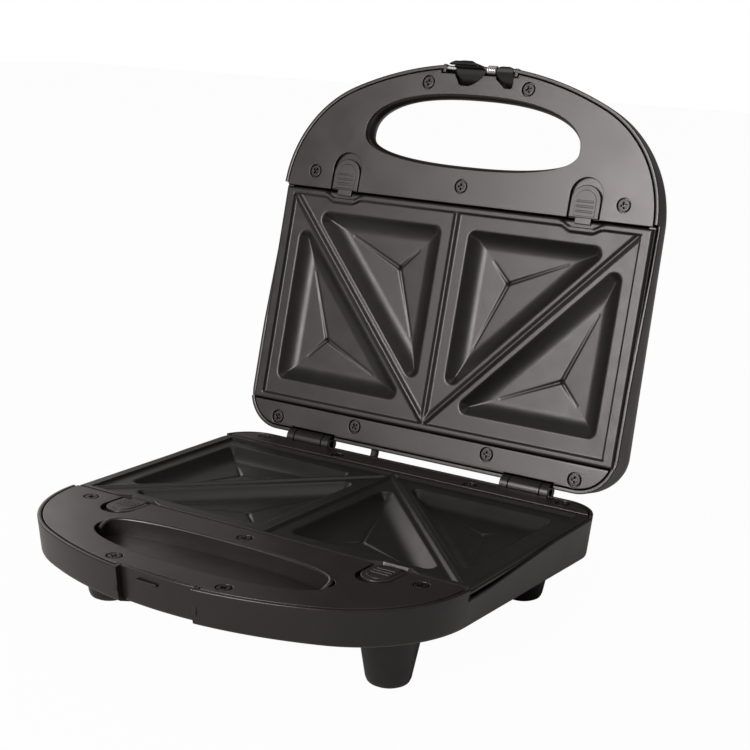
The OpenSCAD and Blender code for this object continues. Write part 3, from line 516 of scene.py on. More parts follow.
def inset_at(u, v):
    """Distance of a point from the outline."""
    u = abs(u)
    if v > SHOULDER_V and degrees(atan2(u, v - FRONT_C)) > JOIN:
        return CORNER_R - sqrt((u - CORNER_U) ** 2 + (v - SHOULDER_V) ** 2)
    front = FRONT_R - sqrt(u**2 + (v - FRONT_C) ** 2)
    side = HALF_W - u
    rear = v - REAR_V
    if side < REAR_R and rear < REAR_R:
        return REAR_R - sqrt((REAR_R - side) ** 2 + (REAR_R - rear) ** 2)
    return min(front, side, rear) if v <= SHOULDER_V else front


def lid_top(u, v):
    """Depth of the lid's outside."""
    d = inset_at(u, v)
    z = np.interp(d, [p[0] for p in LID_PROFILE], [p[1] for p in LID_PROFILE])
    return float(z) * rise(v, LID_RISE)


def grip_radius(a, inset):
    """Distance from the grip's middle to its edge at an angle from forward."""
    reach = (GRIP_FRONT if cos(a) > 0 else GRIP_REAR) - inset
    width = GRIP_HALF_W - inset
    return (abs(sin(a) / width) ** GRIP_POWER + abs(cos(a) / reach) ** GRIP_POWER) ** (-1 / GRIP_POWER)


def grip_loop(inset, short=0.0, count=120):
    """Edge of the grip hole; short is how much less far forward it reaches."""
    points = []
    for i in range(count):
        a = 2 * pi * i / count
        s = abs(sin(a)) ** (2 / GRIP_POWER)
        c = abs(cos(a)) ** (2 / GRIP_POWER)
        reach = (GRIP_FRONT - short if cos(a) > 0 else GRIP_REAR) - inset
        u = np.sign(sin(a)) * s * (GRIP_HALF_W - inset)
        points.append((u, GRIP_V + np.sign(cos(a)) * c * reach))
    return points


def latch_chamber(shape):
    """Walls that close the lid behind the latch and carry the ends of its pin."""
    back_v = CLAW_V - CHAMBER_GAP
    front_v = FRONT_V - CHAMBER_IN
    inner = NOTCH_HALF_W
    outer = NOTCH_HALF_W + CHAMBER_WALL
    shape.box(-outer, outer, back_v - CHAMBER_BACK, back_v, CHAMBER_BACK_Z, edge=0.2)
    shape.box(-outer, outer, back_v - CHAMBER_BACK, front_v, CHAMBER_FLOOR_Z, edge=0.2)
    for u0 in (-outer, inner):
        u1 = u0 + CHAMBER_WALL
        shape.box(u0, u1, back_v - CHAMBER_BACK / 2, front_v, CHAMBER_SIDE_Z, edge=0.2)
        shape.box(u0, u1, FRONT_V - POST_IN[0], FRONT_V - POST_IN[1], POST_Z)


# Growth of the grip hole behind the deck: rows of (depth, growth, more of it at the two ends)
FLARE = np.array((
    (3.2, 0.0, 0.0), (5.5, 0.35, 0.0), (8.0, 1.0, 0.1), (10.5, 1.65, 0.4), (13.0, 2.4, 1.0),
    (15.5, 3.1, 2.0), (18.0, 3.8, 3.2), (21.0, 4.9, 4.5), (24.0, 6.0, 6.0), (35.0, 11.0, 13.0),
))
# Depths between which the flared hole ends
FLARE_END_Z = (10.0, 35.0)
# Small turn, in radians, over which the slope of the grip's edge is taken
GRIP_TURN = 0.01


def flare_at(z, end_share):
    """How far the hole has grown at a depth."""
    more = np.interp(z, FLARE[:, 0], FLARE[:, 2])
    return np.interp(z, FLARE[:, 0], FLARE[:, 1]) + end_share * more


def flare_point(p, n, share, z, reach=0.0):
    """Point at a depth on the wall of the flared hole."""
    q = p + n * (reach + flare_at(z, share))
    return q[0], q[1], z


def flare_end(p, n, share):
    """Depth at which the flared hole meets the outside of the lid."""
    low, high = FLARE_END_Z
    for _ in range(30):
        z = (low + high) / 2
        q = p + n * flare_at(z, share)
        if lid_top(q[0], q[1]) > z:
            low = z
        else:
            high = z
    return low


def grip_normals():
    """Points of the grip hole's edge towards each column, with their outward directions."""
    edge = []
    outward = []
    for u, v in OUTLINE:
        a = atan2(u, v - GRIP_V)
        r = grip_radius(a, GRIP_STEP)
        nearby = [grip_radius(a + d, GRIP_STEP) for d in (-GRIP_TURN, GRIP_TURN)]
        slope = (nearby[1] - nearby[0]) / (2 * GRIP_TURN)
        tangent = np.array([slope * sin(a) + r * cos(a), slope * cos(a) - r * sin(a)])
        tangent /= np.linalg.norm(tangent)
        normal = np.array([-tangent[1], tangent[0]])
        if normal @ np.array([sin(a), cos(a)]) < 0:
            normal = -normal
        edge.append(np.array([r * sin(a), GRIP_V + r * cos(a)]))
        outward.append(normal)
    return np.array(edge), np.array(outward)


def lid_cover():
    top = np.where(IN_NOTCH, LATCH_RIM_Z, wall_top())
    rows = rim_rows(top, np.zeros(len(OUTLINE)))
    for inset, depth in LID_PROFILE[1:]:
        if inset > LID_RING_INSET or depth < LID_RING_Z:
            continue
        least = top + RIM_DROP + depth * RIM_DROP_GROWTH
        rows.append([(u, v, max(depth * rise(v, LID_RISE), z)) for (u, v), z in zip(ring(inset), least)])
    edge, outward = grip_normals()
    shares = np.clip(np.abs(outward[:, 0]), 0, 1) ** 1.5
    columns = list(zip(edge, outward, shares))
    ends = [flare_end(p, n, share) for p, n, share in columns]
    # Over the top, from the edge to the grip hole
    outer = ring(LID_RING_INSET)
    lip = np.array([flare_point(*column, z)[:2] for column, z in zip(columns, ends)])
    for k in range(1, TOP_STEPS):
        uv = outer + (lip - outer) * (k / TOP_STEPS) ** 0.8
        rows.append([(u, v, lid_top(u, v)) for u, v in uv])
    # Through the grip hole to the start of the slope
    for t in np.linspace(0.97, 0, 14):
        depths = [WALL_SLOPE_Z + (end - WALL_SLOPE_Z) * t for end in ends]
        rows.append([flare_point(*column, z) for column, z in zip(columns, depths)])
    # Up the slope to the edge of the deck
    deck_back = DECK_BACK + 0.1
    for t, out in WALL_SLOPE:
        z = WALL_SLOPE_Z + (deck_back - WALL_SLOPE_Z) * t
        rows.append([flare_point(*column, z, GRIP_STEP * out) for column in columns])
    shape = Shape()
    shape.grid(rows)
    hinge_webs(shape, KNUCKLES_U)
    latch_chamber(shape)
    add_piece("lid_shell", "lid", shape, case_plastic, replaced=["lid_cover"])


# ---- Decks ----

SCREWS = [(0.0, 148.9)] + [(s * u, v) for s in (-1, 1) for u, v in ((30.1, 202.7), (93.4, 148.6))]
BAND_SCREWS = [(s * u, v) for s in (-1, 1) for u, v in ((92.0, 9.0), (41.0, 12.3))]
SCREW_GAP = 0.42
SCREW_HOLE_R = SCREW_HEAD_R + SCREW_GAP
CLIP_GAP = 0.7
# How far the decks stay back from the latch notch, its side walls and, on the lid, the front
BASE_DECK_GAP = 0.5
LID_DECK_BACK = 5.8
LID_DECK_GAP = 2.6
SLOT_END_GAP = 0.5
# The hole in the lid's deck is this much wider all round than the grip hole
GRIP_CLEAR = 0.2
# Angle, in degrees from forward, at which the deck's corner meets the seam
DECK_CORNER_A = 88.8
# Floors under the screw heads: lap past the hole, depths
SCREW_FLOOR_LAP = 0.4
SCREW_FLOOR_Z = (DECK_Z + 1.5, DECK_BACK + 0.2)
# Floors behind the clip slots
SLOT_FLOOR_HALF_W = 11
SLOT_FLOOR_PAST = 6
SLOT_FLOOR_Z = (DECK_BACK + 0.15, DECK_BACK + 0.9)
# Well wall and ledge on each side of the plate
WELL_U = (107.9, 109.1)
WELL_Z = (3.7, 12)
WELL_REAR_V = 24
LEDGE_U = (107.9, 111.6)
LEDGE_Z = (2.6, 3.8)
LEDGE_GAP = 0.4
# Well walls in front of and behind the plate: (half width, v range, depths)
WELLS = (
    (108, (SEAM_V + 0.1, SEAM_V + 1.8), (DECK_Z + 2.4, 17)),
    (105, (BAND_V - 1.6, BAND_V - 0.2), (DECK_Z + 1.9, 17)),
)


def clip_slot(u):
    """Edge of a clip's slot, from left to right along the seam."""
    w = CLIP_HALF_W + CLIP_GAP
    arch_v = CLIP_APEX_V + CLIP_TRAVEL - w
    arch = [(u - w * cos(a), arch_v + w * sin(a)) for a in np.linspace(0, pi, 22)]
    return [(u - w, SEAM_V)] + arch + [(u + w, SEAM_V)]


def claw_slot(face, front_cut):
    """Edge of the slot around a claw, from its left end on the notch to its right end."""
    rows = [row for row in face if row[0] < front_cut - SLOT_END_GAP]
    loop = [(rows[-1][1] - SLOT_GAP, front_cut)]
    loop += [(left - SLOT_GAP, v - SLOT_GAP) for v, left, _ in rows[::-1]]
    loop += [(right + SLOT_GAP, v - SLOT_GAP) for v, _, right in rows]
    loop.append((rows[-1][2] + SLOT_GAP, front_cut))
    return loop


def deck_outline(front_cut, cut_half_w, slots=()):
    """Outer edge of the front deck; front_cut is the v to which the notch cuts it."""
    seam = [(DECK_INSET - HALF_W, SEAM_V)]
    seam += clip_slot(-CLIP_U) + clip_slot(CLIP_U) + [(HALF_W - DECK_INSET, SEAM_V)]
    corner = arc_points(CORNER_U, SHOULDER_V, CORNER_R - DECK_INSET, np.linspace(DECK_CORNER_A, JOIN, 30))
    front_r = FRONT_R - DECK_INSET
    cut_a = degrees(np.arcsin(cut_half_w / front_r))
    front = arc_points(0, FRONT_C, front_r, np.linspace(JOIN, cut_a, 14)[1:])
    notch = [point for face in slots for point in claw_slot(face, front_cut)]
    middle = [(cut_half_w, front_cut)] + notch[::-1] + [(-cut_half_w, front_cut)]
    half = corner + front
    return seam + half + middle + mirrored(half)


def band_outline():
    """Edge of the band between the plate and the hinge, with cuts for the ears."""
    r = REAR_R - DECK_INSET
    cv = REAR_V + REAR_R
    start = degrees(np.arccos((BAND_V - cv) / r))
    corner = arc_points(HALF_W - REAR_R, cv, r, np.linspace(start, 180, 14))
    rear = REAR_V + DECK_INSET
    ear = [(EAR_OUT, rear), (EAR_OUT, EAR_NOTCH), (EAR_IN, EAR_NOTCH), (EAR_IN, rear)]
    half = corner + ear
    return half + mirrored(half)


def deck_common(shape, outline, grip):
    """Front deck and hinge band, and what closes the case around the plate."""
    holes = [circle(u, v, SCREW_HOLE_R) for u, v in SCREWS]
    band_holes = [circle(u, v, SCREW_HOLE_R) for u, v in BAND_SCREWS]
    shape.slab([outline, grip] + holes, DECK_Z, DECK_BACK, edge=0.35)
    shape.slab([band_outline()] + band_holes, DECK_Z, DECK_BACK, edge=0.45)
    # Floors under the screw heads and the clip slots, so that nothing shows through
    for u, v in SCREWS + BAND_SCREWS:
        floor = circle(u, v, SCREW_HOLE_R + SCREW_FLOOR_LAP)
        shape.slab([floor], *SCREW_FLOOR_Z, edge=0.1, steps=1)
    for side in (-1, 1):
        u = side * CLIP_U
        shape.box(u - SLOT_FLOOR_HALF_W, u + SLOT_FLOOR_HALF_W, SEAM_V, CLIP_APEX_V + SLOT_FLOOR_PAST,
                  SLOT_FLOOR_Z, r=2, edge=0.2)
        ledge_u = sorted(side * u for u in LEDGE_U)
        shape.box(*ledge_u, PLATE_REAR_V + LEDGE_GAP, SEAM_V, LEDGE_Z, r=0.2, edge=0.25)
        well_u = sorted(side * u for u in WELL_U)
        shape.box(*well_u, WELL_REAR_V, SEAM_V, WELL_Z, r=0.2, edge=0.1, steps=1)
    for half_w, v_range, z_range in WELLS:
        shape.box(-half_w, half_w, *v_range, z_range, r=0.2, edge=0.1, steps=1)


def base_frame():
    shape = Shape()
    cut_v = FRONT_V - NOTCH_DEPTH - WALL - BASE_DECK_GAP
    outline = deck_outline(cut_v, NOTCH_HALF_W + WALL + BASE_DECK_GAP)
    deck_common(shape, outline, grip_loop(0, DISH_SHORT))
    # The closed dish under the lid's grip hole
    bend_z = DISH_FLOOR_Z - DISH_R
    rows = [(-0.1, DECK_Z + 0.5), (0.15, DECK_Z + 2.5), (DISH_INSET, bend_z)]
    rows += [(DISH_INSET + DISH_R * (1 - cos(a)), bend_z + DISH_R * sin(a))
             for a in np.linspace(0.3, pi / 2, 6)]
    shape.grid([with_z(grip_loop(inset, DISH_SHORT), z) for inset, z in rows], cap_last=True)
    add_piece("base_deck", "base", shape, deck_plastic, replaced=["base_frame"])


def steam_guard():
    """Bead behind the dish that meets the lid's grip hole."""
    path = []
    for turn in np.linspace(-GUARD_TURN, GUARD_TURN, 90):
        a = radians(180 - turn)
        r = grip_radius(a, GUARD_W / 2 + GUARD_GAP)
        path.append((r * sin(a), GRIP_V + r * cos(a)))
    path = np.array(path)
    tangent = unit(np.gradient(path, axis=0))
    normal = np.stack([-tangent[:, 1], tangent[:, 0]], axis=1)
    half = GUARD_W / 2 - GUARD_THINNER
    round_z = DECK_Z - GUARD_H + half
    section = [(-half, DISH_FLOOR_Z), (-half, round_z)]
    section += [(-half * cos(a), round_z - half * sin(a)) for a in np.linspace(0.3, pi - 0.3, 8)]
    section += [(half, round_z), (half, DISH_FLOOR_Z)]
    count = np.arange(len(path))
    from_end = np.minimum(count, count[::-1]) / GUARD_END_STEPS
    rows = []
    for p, n, share in zip(path, normal, from_end):
        drop = (1 - min(share, 1.0)) ** 2 * GUARD_END_DROP
        rows.append([(p[0] + n[0] * a, p[1] + n[1] * a, min(z + drop, DISH_FLOOR_Z)) for a, z in section])
    shape = Shape()
    shape.grid(rows, cap_first=True, cap_last=True)
    add_piece("steam_guard", "base", shape, deck_plastic)


def lid_frame():
    shape = Shape()
    outline = deck_outline(FRONT_V - LID_DECK_BACK, NOTCH_HALF_W + LID_DECK_GAP, CLAW_FACES)
    deck_common(shape, outline, grip_loop(-GRIP_CLEAR))
    add_piece("lid_deck", "lid", shape, deck_plastic, replaced=["lid_frame"])


# ---- Plates ----

FLAT_Z = 2.2
POCKET_Z = 8.0
POCKET_R = 4.3
POCKET_WALL = 10.0
FLOOR_RISE = 0.3
GROOVE_REACH = (0.42, 0.56, 0.56)
GROOVE_DEPTH = 0.75
RIM_Z = 0.7
RIDGE_Z = 0.9
PLATE_STEP = 0.55
# Rim around the cooking face, and the places of the ridges and pockets within it
SIDE_RIM = 6.0
END_RIM = 3.6
CREST_START_GAP = 0.7
CREST_END_GAP = (1.5, 1.0)
LAND_W = 4.6
CENTRE_LAND = 8.5
POCKET_FRONT = 8.1
POCKET_REAR = 9.3
POCKET_SIDE = 6.7
# The front rim gives way at each clip: depth, and the reach and slope of the dip
CLIP_DIP = 2.5
CLIP_DIP_REACH = 1.9
CLIP_DIP_SLOPE = 6.4
BEAD_W = 2.6
OUTER_DROP = 2.7
OUTER_REACH = 3.2
OUTER_SLOPE = 4.2
RIM_EDGE = 0.8
# Section of a ridge: half width at its foot, width of its flank, round top
RIDGE_HALF_W = 2.2
RIDGE_FLANK = 1.9
RIDGE_TOP = 0.3
POCKET_EDGE = 0.5
# A groove gets narrower and shallower towards its tip
GROOVE_HALF_W = 1.25
GROOVE_NARROWS = 0.45
GROOVE_FADES = 0.75
# Rounding of the plate's outer edges, and the skirt below them
ROUND_DEPTH = 0.9
ROUND_W = 1.1
SKIRT = 1.6


def plate_layout():
    """Rim, crest line and the two pocket triangles of the right half."""
    rim_u = PLATE_HALF_W - SIDE_RIM
    rim_front = PLATE_FRONT_V - END_RIM
    rim_rear = PLATE_REAR_V + END_RIM
    start = np.array([0.0, rim_rear + CREST_START_GAP])
    end = np.array([rim_u - CREST_END_GAP[0], rim_front - CREST_END_GAP[1]])
    slope = (end[1] - start[1]) / end[0]
    land = LAND_W * sqrt(1 + slope * slope)
    front = rim_front - POCKET_FRONT
    rear = rim_rear + POCKET_REAR
    side = rim_u - POCKET_SIDE
    handle = np.array([[CENTRE_LAND, front], [(front - start[1] - land) / slope, front],
                       [CENTRE_LAND, start[1] + slope * CENTRE_LAND + land]])
    hinge = np.array([[side, rear], [side, start[1] + slope * side - land],
                      [(rear - start[1] + land) / slope, rear]])
    return rim_u, rim_front, rim_rear, start, end, handle, hinge


def in_centre(t):
    """Centre and radius of a triangle's inscribed circle; its right angle comes first."""
    a, b, c = [np.linalg.norm(t[(i + 1) % 3] - t[(i + 2) % 3]) for i in range(3)]
    return (a * t[0] + b * t[1] + c * t[2]) / (a + b + c), b * c / (a + b + c)


def segment_distance(u, v, a, b):
    """Distance of each point from a straight line between two points."""
    d = b - a
    t = np.clip(((u - a[0]) * d[0] + (v - a[1]) * d[1]) / (d @ d), 0, 1)
    return np.hypot(u - a[0] - t * d[0], v - a[1] - t * d[1])


def pocket_distance(u, v, triangle, r):
    """Signed distance to a triangle with rounded corners, positive inside."""
    centre, radius = in_centre(triangle)
    core = centre + (triangle - centre) * (radius - r) / radius
    outside = np.full(u.shape, 1e9)
    inside = np.full(u.shape, 1e9)
    for i in range(3):
        a, b = core[i], core[(i + 1) % 3]
        outside = np.minimum(outside, segment_distance(u, v, a, b))
        n = np.array([-(b - a)[1], (b - a)[0]]) / np.linalg.norm(b - a)
        if n @ (centre - a) < 0:
            n = -n
        inside = np.minimum(inside, (u - a[0]) * n[0] + (v - a[1]) * n[1])
    return np.where(inside > 0, inside, -outside) + r


def rounded_start(d, r):
    """Nothing below -r and d above r, with a smooth bend between them."""
    return np.where(d < -r, 0, np.where(d > r, d, (d + r) ** 2 / (4 * r)))


def bump(x):
    """One at 0, falling smoothly to nothing at 1."""
    x = np.clip(np.abs(x), 0, 1)
    return (1 - x * x) ** 2


def plate_depth(u, v):
    """Depth of the plate's face at each point."""
    rim_u, rim_front, rim_rear, start, end, handle, hinge = plate_layout()
    au = np.abs(u)
    from_clip = np.abs(au - CLIP_U)
    z = np.full(u.shape, FLAT_Z)
    front_in = rim_front - CLIP_DIP * smooth_step(CLIP_DIP_REACH - from_clip / CLIP_DIP_SLOPE)
    rims = np.maximum.reduce([
        smooth_step((au - rim_u) / RIM_EDGE + 0.5),
        smooth_step((v - front_in) / RIM_EDGE + 0.5),
        smooth_step((rim_rear - v) / RIM_EDGE + 0.5),
    ])
    z = z - (FLAT_Z - RIM_Z) * rims
    # The front rim is a bead; outside it the plate is lower beside each clip.
    outside = smooth_step((v - (front_in + BEAD_W)) / RIM_EDGE + 0.5)
    z = z + OUTER_DROP * (outside * smooth_step(OUTER_REACH - from_clip / OUTER_SLOPE))
    middle = segment_distance(au, v, start, np.array([0.0, rim_front]))
    crest = np.minimum(segment_distance(au, v, start, end), middle)
    ridge = np.clip((RIDGE_HALF_W - np.hypot(crest, RIDGE_TOP)) / RIDGE_FLANK, 0, 1)
    z = np.minimum(z, FLAT_Z - (FLAT_Z - RIDGE_Z) * ridge)
    for triangle in (handle, hinge):
        z = z + pocket_depth(au, v, triangle)
    # Rounded outer edges
    margin = np.minimum.reduce([PLATE_HALF_W - au, PLATE_FRONT_V - v, v - PLATE_REAR_V])
    return z + ROUND_DEPTH * (1 - smooth_step(margin / ROUND_W)) ** 2


def pocket_depth(u, v, triangle):
    """How much deeper one pocket and its three grooves make the plate."""
    d = rounded_start(pocket_distance(u, v, triangle, POCKET_R), POCKET_EDGE)
    wall = np.clip(d / POCKET_WALL, 0, 1)
    z = (POCKET_Z - FLAT_Z) * (1 - (1 - wall) ** 2)
    centre, radius = in_centre(triangle)
    z = z + FLOOR_RISE * np.clip((d - POCKET_WALL) / (radius - POCKET_WALL), 0, 1)
    for corner, reach in zip(triangle, GROOVE_REACH):
        way = (corner - centre) * reach
        along = np.clip(((u - centre[0]) * way[0] + (v - centre[1]) * way[1]) / (way @ way), 0, 1)
        width = GROOVE_HALF_W - GROOVE_NARROWS * along
        profile = bump(segment_distance(u, v, centre, centre + way) / width)
        z = z + GROOVE_DEPTH * (1 - GROOVE_FADES * along) * profile
    return z


def plate(name, half, node):
    """Hot plate as a grid of depths with a skirt around it."""
    nu = int(2 * PLATE_HALF_W / PLATE_STEP)
    nv = int((PLATE_FRONT_V - PLATE_REAR_V) / PLATE_STEP)
    us = np.linspace(-PLATE_HALF_W, PLATE_HALF_W, nu)
    vs = np.linspace(PLATE_REAR_V, PLATE_FRONT_V, nv)
    u, v = np.meshgrid(us, vs, indexing="ij")
    z = plate_depth(u, v)
    points = np.stack([u.ravel(), v.ravel(), z.ravel()], axis=1)
    index = np.arange(nu * nv).reshape(nu, nv)
    corners = [index[:-1, :-1], index[1:, :-1], index[1:, 1:], index[:-1, 1:]]
    faces = np.stack(corners, axis=-1).reshape(-1, 4)
    rim = np.concatenate([index[:, 0], index[-1, 1:], index[-2::-1, -1], index[0, -2:0:-1]])
    below = points[rim].copy()
    below[:, 2] += SKIRT
    skirt = np.arange(len(rim)) + len(points)
    skirt_faces = np.stack([rim, np.roll(rim, -1), np.roll(skirt, -1), skirt], axis=1)
    shape = Shape()
    shape.add(np.concatenate([points, below]), np.concatenate([faces, skirt_faces]).tolist())
    add_piece(name, half, shape, non_stick, replaced=[node], sharp=60, weighted=False)


# ---- Screws ----

CROSS_R = 1.75
CROSS_HALF_W = 0.42
HEAD_GAP = 0.15
HEAD_Z = (DECK_Z + 0.12, DECK_Z + 1.45)
# Each cross is turned by a multiple of this, in degrees
SCREW_TURN = 17.0


def cross(r, w):
    """Loop of an upright cross with arms of length r and half width w."""
    return [(w, r), (w, w), (r, w), (r, -w), (w, -w), (w, -r),
            (-w, -r), (-w, -w), (-r, -w), (-r, w), (-w, w), (-w, r)]


def screws(name, half, node):
    """Screw heads with cross recesses, each turned its own way."""
    shape = Shape()
    for i, (cu, cv) in enumerate(SCREWS + BAND_SCREWS):
        a = radians(SCREW_TURN * (i * 5 % 7))
        arms = cross(CROSS_R, CROSS_HALF_W)
        recess = [(cu + x * cos(a) - y * sin(a), cv + x * sin(a) + y * cos(a)) for x, y in arms]
        head = circle(cu, cv, SCREW_HEAD_R - HEAD_GAP, 40)
        shape.slab([head, recess], *HEAD_Z, edge=0.22)
    add_piece(name, half, shape, screw_steel, replaced=[node])


# ---- Clips ----

# Body of the clip and the raised pad on it: depths, and how far the pad is inset
CLIP_FOOT = 0.3
CLIP_Z = (0.75, 2.7)
PAD_SIDE = 2.3
PAD_APEX = 2.6
PAD_FOOT = 1.2
PAD_Z = (0.45, 1.2)
# Three grip ribs across the pad
CLIP_RIBS = 3
RIB_START = 3.6
RIB_PITCH = 2.6
RIB_HALF_L = 4.9
RIB_HALF_W = 0.6
RIB_Z = (0.15, 0.8)
# Claw over the plate's edge
CLIP_CLAW_HALF_W = 4.6
CLIP_CLAW_REACH = 1.9
CLIP_CLAW_BACK = 0.8
CLIP_CLAW_Z = (1.1, 3.0)


def arch(u, width, apex, foot_v, count=20):
    """Loop with a half circle in front and a straight foot."""
    cv = apex - width
    bow = [(u + width * cos(a), cv + width * sin(a)) for a in np.linspace(0, pi, count)]
    return bow + [(u - width, foot_v), (u + width, foot_v)]


def clip(name, half, side, node):
    """Release clip with a pad, grip ribs and a claw."""
    shape = Shape()
    u = side * CLIP_U
    body = arch(u, CLIP_HALF_W, CLIP_APEX_V, SEAM_V + CLIP_FOOT)
    shape.slab([body], *CLIP_Z, edge=0.5, steps=4)
    pad = arch(u, CLIP_HALF_W - PAD_SIDE, CLIP_APEX_V - PAD_APEX, SEAM_V + PAD_FOOT)
    shape.slab([pad], *PAD_Z, edge=0.28)
    for k in range(CLIP_RIBS):
        v = SEAM_V + RIB_START + RIB_PITCH * k
        shape.box(u - RIB_HALF_L, u + RIB_HALF_L, v - RIB_HALF_W, v + RIB_HALF_W, RIB_Z, r=0.5)
    shape.box(u - CLIP_CLAW_HALF_W, u + CLIP_CLAW_HALF_W, PLATE_FRONT_V - CLIP_CLAW_REACH,
              SEAM_V + CLIP_CLAW_BACK, CLIP_CLAW_Z, r=0.6, edge=0.4)
    add_piece(name, half, shape, clip_plastic, body=node_body(node), replaced=[node])


def node_body(node):
    """Body that the frame gives a node."""
    for body, members in frame["record"]["behaviour"]["bodies"].items():
        if node in members:
            return body
    return None


# ---- Latch ----

# The hooked claw narrows from this depth outward, over this length
HOOK_NARROWS_Z = -2.5
HOOK_NARROWS_L = 7.0
CLAW_STEP = 0.7
# Bridge between the claws: distance from their outer sides, depths, and how much thinner it is
BRIDGE_IN = 1.4
BRIDGE_Z = (6, 14)
BRIDGE_THINNER = 0.3


def subdivided(loop, step):
    """The loop with extra points, so that each side is shorter than two steps."""
    points = []
    for (a, b), (c, d) in zip(loop, loop[1:] + loop[:1]):
        count = max(int(np.hypot(c - a, d - b) / step), 1)
        points += [(a + (c - a) * i / count, b + (d - b) * i / count) for i in range(count)]
    return points


def claw_profiles():
    """Side views in (v, z): the claw with its hook and the lobe without one."""
    inner, outer = LEVER_IN_V, LEVER_OUT_V
    back = [(inner + 1.0, 9.0), (inner - 1.6, 8.5), (CLAW_V + 3.0, 7.6), (CLAW_V + 0.6, 6.6),
            (CLAW_V, 5.4), (CLAW_V + 0.4, 4.2), (CLAW_V + 2.4, 2.6), (CLAW_V + 5.5, 1.2)]
    hook_front = [(outer, -6.0), (outer + 0.6, -4.5), (outer + 1, -2.0), (outer + 1, 3.0),
                  (outer + 0.6, 6.0), (outer, 8.0)]
    hook_end = [(inner - 0.6, 0.5), (inner - 0.2, -0.8), (inner, -2.4), (inner + 1.2, -3.2),
                (inner + 1.2, -5.8), (inner, -6.3), (inner - 0.2, -8.4), (inner + 0.2, -9.2),
                (inner + 1.0, -9.5), (inner + 1.9, -9.0)]
    lobe_front = [(outer - 1.2, 0.0), (outer - 0.5, 0.4), (outer - 0.2, 1.2), (outer - 0.2, 8.0)]
    lobe_end = [(inner - 0.8, 0.0)]
    return hook_front + back + hook_end, lobe_front + back + lobe_end


def claw_place(a, b, face):
    """Place for a claw's slab between a and b: its sides follow the claw's front view."""
    rows = np.array(face)

    def place(p):
        left = np.interp(p[0], rows[:, 0], rows[:, 1])
        right = np.interp(p[0], rows[:, 0], rows[:, 2])
        share = (p[2] - a) / (b - a) - 0.5
        outward = np.clip((HOOK_NARROWS_Z - p[1]) / HOOK_NARROWS_L, 0, 1)
        narrowed = 1 - HOOK_NARROWS * outward**2
        return (left + right) / 2 + (right - left) * share * narrowed, p[0], p[1]

    return place


def latch():
    """Lever with a hooked claw, a plain lobe and the bridge between them."""
    shape = Shape()
    for (a, b), face, profile in zip(CLAWS, CLAW_FACES, claw_profiles()):
        loop = subdivided(profile, CLAW_STEP)
        shape.slab([loop], a, b, edge=1.0, steps=4, place=claw_place(a, b, face))
    thickness = (-LEVER_OUT_V, -LEVER_IN_V - BRIDGE_THINNER)
    shape.box(CLAWS[0][0] + BRIDGE_IN, CLAWS[1][1] - BRIDGE_IN, *BRIDGE_Z, thickness, r=1.0, edge=0.8,
              steps=4, place=swept_along_v)
    add_piece("latch_lever", "lid", shape, latch_plastic,
              body=node_body("latch"), replaced=["latch"], sharp=42)


# ---- Feet ----

FEET = {f"foot_{end}_{word}": (side * 80.0, v)
        for end, v in (("front", 150.0), ("rear", 24.0)) for word, side in (("left", -1), ("right", 1))}
FOOT_TOP_Z = 19.0
FOOT_TOP_R = 15.0
FOOT_END_R = 9.8
FOOT_END_GAP = 0.5
FOOT_ROUND = 2.0
FOOT_ROUND_R = 9.85
FOOT_ROUND_W = 1.8
# Hollow in the foot's end: radii and depth
HOLLOW_R = (7.7, 7.6)
HOLLOW_DEPTH = 0.8


def foot(node, place):
    """Foot as a cone with a rounded end."""
    cu, cv = place
    end = HINGE[2] - FOOT_END_GAP
    slope = (FOOT_TOP_R - FOOT_END_R) / (end - FOOT_TOP_Z)
    depths = (FOOT_TOP_Z, 26.0, 34.0, 41.0, end - 2.6)
    profile = [(FOOT_TOP_R - slope * (z - FOOT_TOP_Z), z) for z in depths]
    profile += [(FOOT_ROUND_R - FOOT_ROUND_W * (1 - cos(a)), end - FOOT_ROUND + FOOT_ROUND * sin(a))
                for a in np.linspace(0.25, pi / 2, 6)]
    profile += [(HOLLOW_R[0], end), (HOLLOW_R[1], end - HOLLOW_DEPTH)]
    shape = Shape()
    shape.grid([with_z(circle(cu, cv, r, 64), z) for r, z in profile], cap_last=True)
    add_piece(node + "_cone", "base", shape, foot_plastic, replaced=[node])


# ---- Materials ----

COAT_ROUGHNESS = 0.25
LEAST_ROUGHNESS = 0.02
ROUGH_SPREAD = 0.08
PATCH_DETAIL = 5.0
GRAIN_DETAIL = 2.0
# Height of the moulded grain, in metres
GRAIN_HEIGHT = 0.0002


def noise(tree, coords, scale, detail):
    """Noise texture in an object's own coordinates."""
    texture = tree.nodes.new("ShaderNodeTexNoise")
    texture.inputs["Scale"].default_value = scale
    texture.inputs["Detail"].default_value = detail
    tree.links.new(coords.outputs["Object"], texture.inputs["Vector"])
    return texture


